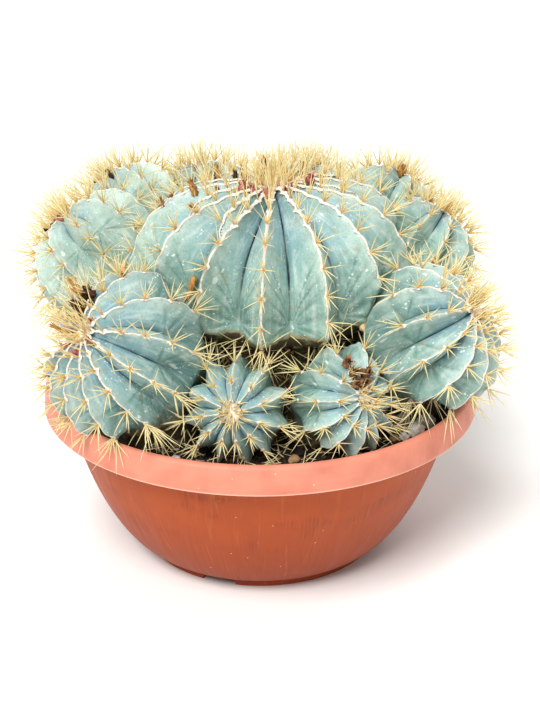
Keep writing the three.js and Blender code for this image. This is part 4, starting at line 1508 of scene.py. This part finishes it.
    def add_button(self, data: MeshData) -> None:
        """Adds the wool on the crown as a low uneven dome.

        Args:
            data: The mesh that gets it.
        """
        head = self.head
        rows, columns = 9, 28
        tilt = np.linspace(0.02, 1, rows)[:, None]
        turn = np.linspace(0, 2 * math.pi, columns, endpoint=False)[None, :]
        flat = (head.button * head.radius * tilt)[..., None] * self.around_crown(turn)
        rise = (0.035 * head.radius + 1.5) * (1 - tilt**2) - 1.2
        points = head.centre + flat + (head.rise * 0.985 + rise)[..., None] * head.axis
        points = points + head.axis * (0.8 * Waves(head.seed + 7, 6.0).at(points))[..., None]
        data.add(points, grid_quads(rows, columns, True), areole=0.15, age=0.1)

    def spine_mesh(self) -> MeshData:
        """All spines of the head, but for those that would run into another head, the rim or the soil."""
        parts = zip(*self.stars(), self.bunch(), self.thatch())
        feet, aims, lengths, ages, bends = (np.concatenate(part) for part in parts)
        keep = np.ones(len(feet), bool)
        for share, margin in ((0.4, 0.97), (0.75, 0.93), (1.0, 0.9)):
            keep &= CROWD.open_at(self.head, feet + aims * (lengths * share)[:, None], margin)
        return spine_tubes(self.spine_width, *(part[keep] for part in (feet, aims, lengths, ages, bends)))

    def stars(self) -> list[tuple]:
        """The spines of the areoles.

        Returns:
            For each areole the feet, directions, lengths, ages and bends of its spines, for spine_tubes.
        """
        stars = []
        places, _ = self.head.areole_levels()
        for rib in [*range(self.head.ribs), *self.head.forks]:
            crest, out, across = self.ridge(rib, places)
            along = unit(np.gradient(crest, axis=0))
            bare = self.rng.uniform(size=len(places)) < np.clip(places - 1.25, 0, 0.6)
            if isinstance(rib, Fork):
                bare |= places > 0.85 * rib.level
            shown = CROWD.open_at(self.head, crest + 2 * out, 0.99) & ~bare
            for i in np.flatnonzero(shown):
                star = self.star(out[i], across[i], along[i], float(places[i]))
                count = len(star)
                stars.append((
                    crest[i] + 0.9 * self.small * out[i] + 1.1 * star * self.small,
                    star,
                    self.lengths(count, float(places[i])),
                    np.full(count, np.clip(0.75 * places[i] - 0.1 + self.rng.normal(0, 0.1), 0, 1)),
                    np.tile(along[i], (count, 1)) * self.rng.normal(0.02, 0.035, (count, 1)),
                ))
        return stars

    def star(self, out: Array, across: Array, along: Array, level: float) -> Array:
        """Directions of the spines of one areole.

        Args:
            out: Outward direction there.
            across: Direction round the head.
            along: Direction down the rib.
            level: Level of the areole.

        Returns:
            One unit vector per spine.
        """
        few, many = (2, 4) if level < 0.22 else (6, 8) if level < 0.95 else (7, 9)
        radials = int(self.rng.integers(few, many))
        turns = np.linspace(0, 2 * math.pi, radials, endpoint=False) + self.rng.normal(0, 0.2, radials)
        turns = turns + self.rng.uniform(0, 2 * math.pi / radials)
        tilts = np.radians(self.rng.normal(36, 10, radials)) * min(1.0, 0.45 + 1.1 * level)
        turns = np.append(turns, self.rng.uniform(0, 6.3))
        tilts = np.append(tilts, math.radians(self.rng.uniform(2, 16)))
        flat = 0.8 * across * np.cos(turns)[:, None] + 1.1 * along * np.sin(turns)[:, None]
        return unit(out * np.cos(tilts)[:, None] + flat * np.sin(tilts)[:, None])

    def lengths(self, count: int, level: float) -> Array:
        """Lengths of an areole's spines: longest by the crown and again at the body's lower edge."""
        grown = 1.05 - 0.2 * math.sin(min(level, 1.0) * math.pi / 2) + 1.8 * max(min(level, 1.2) - 0.95, 0.0)
        return self.spine_length * self.small * self.head.spines * grown * self.rng.uniform(0.7, 1.15, count)

    def bunch(self) -> tuple:
        """The upright young spines in the middle of the crown, as spine_tubes takes them."""
        head = self.head
        count = int((10 + 0.35 * head.radius) * head.tuft)
        turn = self.rng.uniform(0, 2 * math.pi, count)
        wide = 0.09 * head.radius
        reach = np.sqrt(self.rng.uniform(0, 1, count)) * wide
        flat = self.around_crown(turn)
        feet = head.centre + flat * reach[:, None] + head.axis * (head.rise - 0.5)
        tilt = np.minimum((0.15 + 0.8 * reach / wide) * self.rng.uniform(0.5, 1.4, count), 1.1)
        grown = min(1.0, 0.3 + head.felt) + 0.2 * head.felt
        lengths = self.spine_length * self.small * self.rng.uniform(0.7, 1.0, count) * grown
        ages = np.full(count, 0.0 if head.felt > 0.4 else 1.0)
        bends = flat * self.rng.normal(0.03, 0.03, (count, 1))
        return feet, unit(head.axis + flat * np.tan(tilt)[:, None]), lengths, ages, bends

    def thatch(self) -> tuple:
        """The old spines that stick out all ways from the neck, as spine_tubes takes them."""
        head = self.head
        count = head.thatch
        level, rib = self.rng.uniform(1.08, 1.75, count), self.rng.uniform(0, head.ribs, count)
        foot = CROWD.press(head, head.skin(level, rib)[0])
        out = unit(foot - head.neck_line(level - 1)[0])
        aims = unit(out + self.rng.normal(0, 0.55, (count, 3)))
        lengths = self.spine_length * self.rng.uniform(0.8, 1.35, count)
        ages = self.rng.uniform(0.0, 0.4, count)
        return foot + out, aims, lengths, ages, self.rng.normal(0, 0.03, (count, 3))


def spine_tubes(width: float, feet: Array, aims: Array, lengths: Array, ages: Array,
                bends: Array) -> MeshData:
    """Meshes tapered, slightly curved spines.

    Args:
        width: Radius at the foot.
        feet: Where each starts.
        aims: Its direction there.
        lengths: Its length.
        ages: 0 for young and golden, 1 for old and pale.
        bends: Half of how far its tip is drawn aside, as a share of its length.

    Returns:
        One closed tapered tube per spine.
    """
    taper = width * np.array([1.0, 0.92, 0.78, 0.58, 0.34])
    rings, sides, count = len(taper), 5, len(feet)
    t = np.linspace(0, 1, rings + 1)[:-1]
    first = unit(np.cross(aims, UP + 0.01 * aims[:, ::-1]))
    second = np.cross(aims, first)
    centre = feet[:, None] + aims[:, None] * (lengths[:, None] * t)[..., None]
    centre = centre + bends[:, None] * (lengths[:, None] * t**2)[..., None] * 2
    turn = np.linspace(0, 2 * math.pi, sides, endpoint=False)
    ring = first[:, None] * np.cos(turn)[None, :, None] + second[:, None] * np.sin(turn)[None, :, None]
    body = centre[:, :, None] + ring[:, None] * taper[None, :, None, None]
    tip = feet + aims * lengths[:, None] + bends * lengths[:, None] * 2
    points = np.concatenate([body.reshape(count, -1, 3), tip[:, None]], 1)
    size = rings * sides + 1
    quads = grid_quads(rings, sides, True)[:, ::-1]
    side = np.arange(sides)
    caps = np.stack([side, (side + 1) % sides, 0 * side + sides], -1) + (rings - 1) * sides
    starts = (np.arange(count) * size)[:, None, None]
    data = MeshData()
    data.add(
        points, (quads[None] + starts).reshape(-1, 4), (caps[None] + starts).reshape(-1, 3),
        along=np.tile(np.append(np.repeat(t, sides), 1.0), count), age=np.repeat(ages, size),
    )
    return data


# ---------------------------------------------------------------- soil, stones and withered flowers


def soil_height(x: Array, y: Array) -> Array:
    """Height of the soil before its crumbs."""
    dome = 5.0 * (1 - (x * x + y * y) / 205.0**2)
    return SOIL_LEVEL + dome + 2.5 * np.sin(x / 31 + 1) * np.cos(y / 26)


@dataclass(frozen=True)
class Soil:
    """Peat soil with bark, perlite, grit and fallen spines on it."""

    edge: float = 201.5
    rings: int = 120
    columns: int = 420
    crumbs: int = 5200
    chips: int = 420
    perlite: int = 130
    fallen: int = 1000
    seed: int = 5

    def surface(self, x: Array, y: Array) -> Array:
        """Height of the crumbly surface."""
        flat = np.stack([x, y, 0 * x], -1)
        rough = 1.5 * Waves(31, 24.0).at(flat) + 0.9 * Waves(32, 9.0).at(flat) + 0.5 * Waves(33, 4.0).at(flat)
        return soil_height(x, y) + rough - 0.8

    def build(self, bench: Bench) -> None:
        """Makes the soil and everything loose on it.

        Args:
            bench: Where the pieces are made.
        """
        radius = (np.linspace(0.01, 1, self.rings) ** 0.7 * self.edge)[:, None]
        turn = np.linspace(0, 2 * math.pi, self.columns, endpoint=False)[None, :]
        x, y = radius * np.cos(turn), radius * np.sin(turn)
        z = self.surface(x, y) - 2.5 * np.clip((radius - self.edge + 8) / 8, 0, 1) ** 2
        data = MeshData()
        data.add(np.stack([x, y, z], -1), grid_quads(self.rings, self.columns, True), shade=0.0)
        bench.piece("peat_soil_surface", data, PEAT, ["soil"])
        rng = np.random.default_rng(self.seed)
        crumbs = self.lumps(rng, self.crumbs, (1.0, 3.4), 0.25)
        bench.piece("peat_crumbs", crumbs, PEAT, [], smooth=False)
        chips = self.lumps(rng, self.chips, (2.2, 6.5), 0.3, 0.4)
        bench.piece("bark_chips", chips, BARK, [], smooth=False)
        grains = self.lumps(rng, self.perlite, (1.0, 2.6), 0.3)
        bench.piece("perlite_grains", grains, PERLITE, [], smooth=False)
        self.fallen_spines(rng, bench)

    def scatter(self, rng: np.random.Generator, count: int) -> Array:
        """Places spread evenly over the soil, on its surface.

        Args:
            rng: Random numbers.
            count: How many.

        Returns:
            One point per place.
        """
        radius = np.sqrt(rng.uniform(0.02, 1, count)) * (self.edge - 3)
        turn = rng.uniform(0, 2 * math.pi, count)
        x, y = radius * np.cos(turn), radius * np.sin(turn)
        return np.stack([x, y, self.surface(x, y)], -1)

    def lumps(self, rng: np.random.Generator, count: int, sizes: tuple[float, float], spread: float,
              flatness: float = 0.75) -> MeshData:
        """Small angular lumps strewn on the soil.

        Args:
            rng: Random numbers.
            count: How many.
            sizes: Least and greatest radius.
            spread: How much their shades differ.
            flatness: Height of a lump as a share of its width.

        Returns:
            One mesh with them all.
        """
        golden = (1 + math.sqrt(5)) / 2
        corners = unit(np.array([
            (-1, golden, 0), (1, golden, 0), (-1, -golden, 0), (1, -golden, 0),
            (0, -1, golden), (0, 1, golden), (0, -1, -golden), (0, 1, -golden),
            (golden, 0, -1), (golden, 0, 1), (-golden, 0, -1), (-golden, 0, 1),
        ], float))
        faces = np.array([
            (0, 11, 5), (0, 5, 1), (0, 1, 7), (0, 7, 10), (0, 10, 11), (1, 5, 9), (5, 11, 4),
            (11, 10, 2), (10, 7, 6), (7, 1, 8), (3, 9, 4), (3, 4, 2), (3, 2, 6), (3, 6, 8),
            (3, 8, 9), (4, 9, 5), (2, 4, 11), (6, 2, 10), (8, 6, 7), (9, 8, 1),
        ])
        size = sizes[0] + (sizes[1] - sizes[0]) * rng.uniform(0, 1, count) ** 2.2
        shape = corners[None] * rng.uniform(0.65, 1.25, (count, 12, 1)) * rng.uniform(0.7, 1.3, (count, 1, 3))
        shape = shape * np.array([1, 1, flatness])
        turn = rng.uniform(0, 2 * math.pi, count)
        cos, sin = np.cos(turn)[:, None], np.sin(turn)[:, None]
        x = shape[..., 0] * cos - shape[..., 1] * sin
        y = shape[..., 0] * sin + shape[..., 1] * cos
        turned = np.stack([x, y, shape[..., 2] + 0.25 * x], -1) * size[:, None, None]
        places = self.scatter(rng, count)
        places[:, 2] += 0.3 * size
        starts = (np.arange(count) * 12)[:, None, None]
        shades = np.repeat(rng.normal(0, spread, count), 12)
        data = MeshData()
        data.add(turned + places[:, None], None, (faces[None] + starts).reshape(-1, 3), shade=shades)
        return data

    def fallen_spines(self, rng: np.random.Generator, bench: Bench) -> None:
        """Lays old spines across the soil and against the necks of the heads.

        Args:
            rng: Random numbers.
            bench: Where the piece is made.
        """
        feet = self.scatter(rng, self.fallen)
        turn = rng.uniform(0, 2 * math.pi, self.fallen)
        tilt = rng.uniform(0.02, 0.7, self.fallen)
        aims = unit(np.stack([np.cos(turn), np.sin(turn), tilt], -1))
        feet[:, 2] += 1.0
        lengths = rng.uniform(14, 30, self.fallen)
        tips = feet + aims * lengths[:, None]
        inside = np.hypot(tips[:, 0], tips[:, 1]) < self.edge - 2
        width = Planting(HEADS[-1], bench).spine_width
        ages = rng.uniform(0.2, 1.0, self.fallen)
        kept = [part[inside] for part in (feet, aims, lengths, ages, 0 * aims)]
        bench.piece("fallen_spines", spine_tubes(width, *kept), GoldenSpine(), [])


@dataclass(frozen=True)
class Stone:
    """A stone lying on the soil."""

    node: str
    at: tuple[float, float]
    size: tuple[float, float, float]
    turn: float
    finish: Crumb
    seed: int
    modelled: bool = True

    def build(self, bench: Bench) -> None:
        """Makes the stone as an uneven rounded pebble.

        Args:
            bench: Where the piece is made.
        """
        rows, columns = 26, 40
        tilt = np.linspace(0.02, math.pi - 0.02, rows)[:, None]
        around = np.linspace(0, 2 * math.pi, columns, endpoint=False)[None, :]
        wide = np.sin(tilt)
        ball = np.stack([wide * np.cos(around), wide * np.sin(around), np.cos(tilt) + 0 * around], -1)
        lumpy = 0.92 + 0.1 * Waves(self.seed, 1.4).at(ball) + 0.035 * Waves(self.seed + 1, 0.5).at(ball)
        shape = ball * lumpy[..., None] * np.array(self.size)
        cos, sin = math.cos(self.turn), math.sin(self.turn)
        x = shape[..., 0] * cos - shape[..., 1] * sin + self.at[0]
        y = shape[..., 0] * sin + shape[..., 1] * cos + self.at[1]
        z = shape[..., 2] + float(soil_height(self.at[0], self.at[1])) + 0.45 * self.size[2]
        data = MeshData()
        data.add(np.stack([x, y, z], -1), grid_quads(rows, columns, True), shade=0.05)
        bench.piece(f"{self.node}_body", data, self.finish, [self.node] if self.modelled else [])


STONES = (
    Stone("grey_stone_large", (140, -92), (11, 8, 7), 0.4, LIMESTONE, 41),
    Stone("grey_stone_small", (154, -101), (8, 7, 5), 1.9, LIMESTONE, 42),
    Stone("pale_stone", (128, -110), (6, 5, 4), 2.6, PERLITE, 43),
    Stone("brown_pebble", (33, -177), (8, 5, 4.5), 0.9, SANDSTONE, 44),
    Stone("perlite_grain", (-80, -166), (5, 4, 4), 0.2, PERLITE, 45),
    Stone("rim_stone_grey", (163, -94), (13, 9, 8), 0.5, LIMESTONE, 46, False),
    Stone("rim_stone_white", (153, -112), (11, 7, 7), 0.5, PERLITE, 47, False),
    Stone("rim_stone_pink", (141, -125), (6, 5, 5), 1.2, PERLITE, 48, False),
    Stone("rim_stone_brown", (131, -128), (6, 5, 4.5), 2.2, SANDSTONE, 49, False),
)


class Bloom(Enum):
    """What is left of a flower."""

    DARK = "dark"
    STRAW = "straw"
    BUD = "bud"


@dataclass(frozen=True)
class WitheredFlower:
    """A dried flower or a scaly rosy bud, at a place round a head counted in ribs."""

    head: str
    rib: float
    level: float
    length: float
    width: float
    bloom: Bloom
    hang: float = 0.0
    pale: float = 0.0
    node: str = ""

    @property
    def seed(self) -> int:
        """Seed of its uneven shape."""
        return int(1000 * self.rib + 100 * self.level)

    def finish(self) -> Crumb:
        """The finish that goes with what is left of it."""
        return {Bloom.DARK: DEAD_PETAL, Bloom.STRAW: DRY_PETAL, Bloom.BUD: ROSY_PETAL}[self.bloom]

    def build(self, bench: Bench) -> None:
        """Makes the shrivelled tube and its curled petals.

        Args:
            bench: Where the piece is made.
        """
        head = next(h for h in HEADS if h.name == self.head)
        rng = np.random.default_rng(self.seed)
        foot = CROWD.press(head, head.skin(np.array([self.level]), np.array([self.rib]))[0])[0]
        out = unit(foot - head.centre)
        downhill = unit(out * out[2] - UP)
        aim = unit((1 - self.hang) * unit(out + head.axis) + self.hang * (0.2 * out + downhill))
        foot = foot + self.hang * self.width * out
        first = unit(np.cross(aim, UP + 0.01))
        second = np.cross(aim, first)
        data = MeshData()
        rows, columns = 14, 18
        along = np.linspace(0, 1, rows)[:, None]
        turn = np.linspace(0, 2 * math.pi, columns, endpoint=False)[None, :]
        reach = self.width * (0.62 + 0.25 * np.sin(along * 3.0) - 0.45 * along**2)
        reach = reach * (1 + 0.18 * np.sin(5 * turn + 9 * along) + 0.08 * rng.normal(size=(rows, columns)))
        flat = first * np.cos(turn)[..., None] + second * np.sin(turn)[..., None]
        tube = foot + flat * reach[..., None] + aim * (0.6 * self.length * along + 0 * turn)[..., None]
        data.add(tube, grid_quads(rows, columns, True)[:, ::-1], shade=self.pale - 0.05)
        for i in range(9 if self.bloom is Bloom.BUD else 16):
            self.add_petal(data, rng, foot, aim, first, second, i * 2.4)
        name = f"dried_{self.bloom.value}_flower_{self.head}_{self.seed}"
        bench.piece(name, data, self.finish(), [self.node] if self.node else [])

    def add_petal(self, data: MeshData, rng: np.random.Generator, foot: Array, aim: Array, first: Array,
                  second: Array, turn: float) -> None:
        """Adds one curled petal.

        Args:
            data: The mesh that gets it.
            rng: Random numbers.
            foot: The flower's foot.
            aim: The flower's axis.
            first: A direction across it.
            second: The other direction across it.
            turn: Where round the flower the petal stands.
        """
        side = first * math.cos(turn) + second * math.sin(turn)
        tangent = np.cross(aim, side)
        t = np.linspace(0, 1, 7)
        start = foot + aim * self.length * rng.uniform(0.3, 0.6) + side * self.width * 0.45
        curl = rng.uniform(-0.6, 1.3)
        rise = self.length * rng.uniform(0.3, 0.55)
        line = start + aim * (rise * t)[:, None] + side * (self.width * 0.6 * curl * t**2)[:, None]
        half = self.width * 0.3 * np.sin(np.clip(t * 2.6 + 0.4, 0, 3.1))[:, None]
        cup = side * (0.25 * half)
        strip = np.stack([line - tangent * half - cup, line, line + tangent * half - cup], 1)
        data.add(strip, grid_quads(7, 3, False), shade=float(self.pale + rng.normal(0.05, 0.12)))


def flowers(head: str, bloom: Bloom, length: float, width: float, *places: tuple[float, float],
            pale: float = 0.0) -> list[WitheredFlower]:
    """Flowers of one kind and size on one head.

    Args:
        head: Name of the head.
        bloom: What is left of them.
        length: Their length.
        width: Their width.
        places: Rib and level of each.
        pale: How much paler they are than their finish.

    Returns:
        One flower per place.
    """
    return [WitheredFlower(head, rib, level, length, width, bloom, pale=pale) for rib, level in places]


FLOWERS = (
    WitheredFlower("main", 10.42, 0.52, 18, 5, Bloom.STRAW, node="withered_flower_main_left"),
    WitheredFlower("main", 10.3, 0.28, 16, 4, Bloom.STRAW, node="withered_flower_main_upper"),
    WitheredFlower("main", 8.4, 0.28, 19, 4.5, Bloom.DARK, node="withered_flower_main_back"),
    WitheredFlower("left_front", 1.5, 0.4, 20, 5.5, Bloom.DARK, pale=0.1, node="withered_flower_left_front"),
    WitheredFlower("front_right_pup", 3.5, 0.3, 16, 5, Bloom.DARK, pale=0.22,
                   node="withered_flower_front_right_pup"),
    WitheredFlower("left_front", 0.03, 0.54, 26, 3.8, Bloom.STRAW, hang=0.9, pale=0.25),
    WitheredFlower("left_front", 1.95, 0.6, 22, 3.6, Bloom.STRAW, pale=0.15),
    WitheredFlower("main", 11.45, 0.86, 28, 3.8, Bloom.STRAW, hang=1.0),
    *flowers("main", Bloom.BUD, 13, 6.4, (10.6, 0.1), (11.2, 0.09), (12.2, 0.1), (1.3, 0.095), (2.6, 0.09),
             (3.5, 0.09), (4.5, 0.11), (6.5, 0.12), (7.5, 0.12), (8.5, 0.12), (9.5, 0.11)),
    *flowers("main", Bloom.STRAW, 24, 4, (8.2, 0.42), (8.6, 0.4)),
    *flowers("main", Bloom.DARK, 22, 6, (8.4, 0.2), (7.2, 0.17), (6.4, 0.2), (5.3, 0.2), pale=0.25),
    *flowers("main", Bloom.DARK, 16, 6, (0.5, 1.3), (12.6, 1.32), (1.3, 1.25), (1.2, 1.42), (11.8, 1.2),
             pale=0.2),
    *flowers("main", Bloom.STRAW, 14, 6.5, (1.85, 1.16), pale=0.5),
    *flowers("main", Bloom.DARK, 12, 5, (9.95, 0.54), (9.9, 0.5), pale=0.32),
    *flowers("main", Bloom.STRAW, 12, 4.5, (10.1, 0.34), (10.04, 0.31)),
    *flowers("main", Bloom.DARK, 13, 4.5, (8.0, 0.4), (8.1, 0.42), (5.4, 0.3)),
    *flowers("left_front", Bloom.DARK, 14, 7, (1.8, 0.3), (1.4, 0.27), (1.6, 0.36), (1.2, 0.33), (0.95, 0.3)),
    *flowers("left_front", Bloom.DARK, 10, 3.6, (2.7, 0.5), (0.2, 0.25)),
    *flowers("left_front", Bloom.STRAW, 26, 3.6, (1.5, 0.5), (1.7, 0.5), (3.4, 0.24)),
    *flowers("left_front", Bloom.BUD, 11, 3.8, (3.3, 0.2), (6.4, 0.2), (11.4, 0.13), (8.8, 0.13), (4.6, 0.2)),
    *flowers("front_right_pup", Bloom.DARK, 13, 5.5, (3.9, 0.3), (3.2, 0.3), (3.6, 0.22), (4.3, 0.24),
             (4.0, 0.4), pale=0.22),
    *flowers("right_front", Bloom.BUD, 9, 3.2, (2.4, 0.09), (11.5, 0.22), (4.5, 0.1)),
    *flowers("right_front", Bloom.STRAW, 13, 3.4, (1.5, 0.2)),
    *flowers("left_back", Bloom.BUD, 9, 3.4, (9.6, 0.14), (10.4, 0.12), (2.4, 0.12)),
    *flowers("left_back", Bloom.DARK, 13, 4, (8.4, 0.26), (9.5, 0.3)),
    *flowers("back_left", Bloom.DARK, 13, 4, (7.4, 0.3), (4.5, 0.2)),
    *flowers("right_back", Bloom.STRAW, 14, 4, (6.5, 0.3), (2.5, 0.2)),
    *flowers("back_right", Bloom.STRAW, 16, 4, (6.5, 0.3), (3.4, 0.25)),
    *flowers("back_mid_left", Bloom.BUD, 9, 3.2, (1.5, 0.14), (3.4, 0.12), (7.5, 0.13)),
    *flowers("back_mid_right", Bloom.DARK, 13, 4, (4.5, 0.24), (1.4, 0.3)),
)


# ---------------------------------------------------------------- studio


@dataclass(frozen=True)
class Studio:
    """Pale floor, soft lights and the camera at the photograph's angle."""

    aim: tuple[float, float, float] = (10.04, 0.0, 196.94)
    distance: float = 1600.0
    pitch: float = 23.339
    focal_pixels: float = 1535.2
    frame_pixels: float = 720.0
    sensor: float = 36.0
    floor_colour: str = "#F4F3F0"
    floor_half: float = 30000.0
    sky_strength: float = 0.44

    def build(self, bench: Bench) -> None:
        """Makes the floor, the lights and the camera."""
        self.floor(bench)
        self.sky()
        self.lamp("key", (-0.42, -0.9, 1.25), 30, 3.6)
        self.lamp("back", (0.5, 1.0, 1.1), 60, 0.9)
        self.camera(bench)
        bpy.context.scene.view_settings.view_transform = "Standard"

    def floor(self, bench: Bench) -> None:
        """Lays a wide pale floor at the height that the bowl stands on.

        Args:
            bench: What places its corners in the frame.
        """
        half = self.floor_half
        corners = ((-half, -half, 0.0), (half, -half, 0.0), (half, half, 0.0), (-half, half, 0.0))
        mesh = bpy.data.meshes.new("studio_floor")
        mesh.from_pydata([bench.place(*corner) for corner in corners], [], [(0, 1, 2, 3)])
        made = bpy.data.objects.new("studio_floor", mesh)
        bpy.context.scene.collection.objects.link(made)
        material = bpy.data.materials.new("painted_floor")
        material.use_nodes = True
        shader = material.node_tree.nodes["Principled BSDF"]
        shader.inputs["Base Color"].default_value = linear(self.floor_colour)
        shader.inputs["Roughness"].default_value = 0.9
        mesh.materials.append(material)

    def sky(self) -> None:
        """Lights the scene evenly from all round."""
        world = bpy.data.worlds.new("studio_sky")
        world.use_nodes = True
        background = world.node_tree.nodes["Background"]
        background.inputs["Color"].default_value = (1.0, 1.0, 1.0, 1.0)
        background.inputs["Strength"].default_value = self.sky_strength
        bpy.context.scene.world = world

    def lamp(self, name: str, spot: tuple[float, float, float], width: float, power: float) -> None:
        """Hangs a wide soft light so far off that it lights the floor evenly.

        Args:
            name: Its name.
            spot: Direction that it shines from.
            width: How wide it looks from the plant, in degrees.
            power: Its power, in watts per square metre.
        """
        light = bpy.data.lights.new(f"studio_{name}", "SUN")
        light.angle = math.radians(width)
        light.energy = power
        made = bpy.data.objects.new(f"studio_{name}", light)
        made.rotation_euler = (-Vector(spot)).to_track_quat("-Z", "Y").to_euler()
        bpy.context.scene.collection.objects.link(made)

    def camera(self, bench: Bench) -> None:
        """Sets the camera where the photograph was taken from.

        Args:
            bench: What places it in the frame.
        """
        data = bpy.data.cameras.new("studio_camera")
        data.sensor_width = self.sensor
        data.lens = self.focal_pixels / self.frame_pixels * self.sensor
        data.clip_end = 50.0
        made = bpy.data.objects.new("studio_camera", data)
        tilt = math.radians(self.pitch)
        x, y, z = self.aim
        made.location = bench.place(x, y - self.distance * math.cos(tilt), z + self.distance * math.sin(tilt))
        made.rotation_euler = (math.pi / 2 - tilt, 0.0, 0.0)
        bpy.context.scene.collection.objects.link(made)
        bpy.context.scene.camera = made


def main() -> None:
    """Builds every sub-assembly in order."""
    logging.basicConfig(level=logging.INFO, format="%(name)s: %(message)s")
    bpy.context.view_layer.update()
    bench = Bench("pot")
    Studio().build(bench)
    BOWL.build(bench)
    Soil().build(bench)
    for stone in STONES:
        stone.build(bench)
    for head in HEADS:
        Planting(head, bench).build()
    for flower in FLOWERS:
        flower.build(bench)


if __name__ == "__main__":
    main()
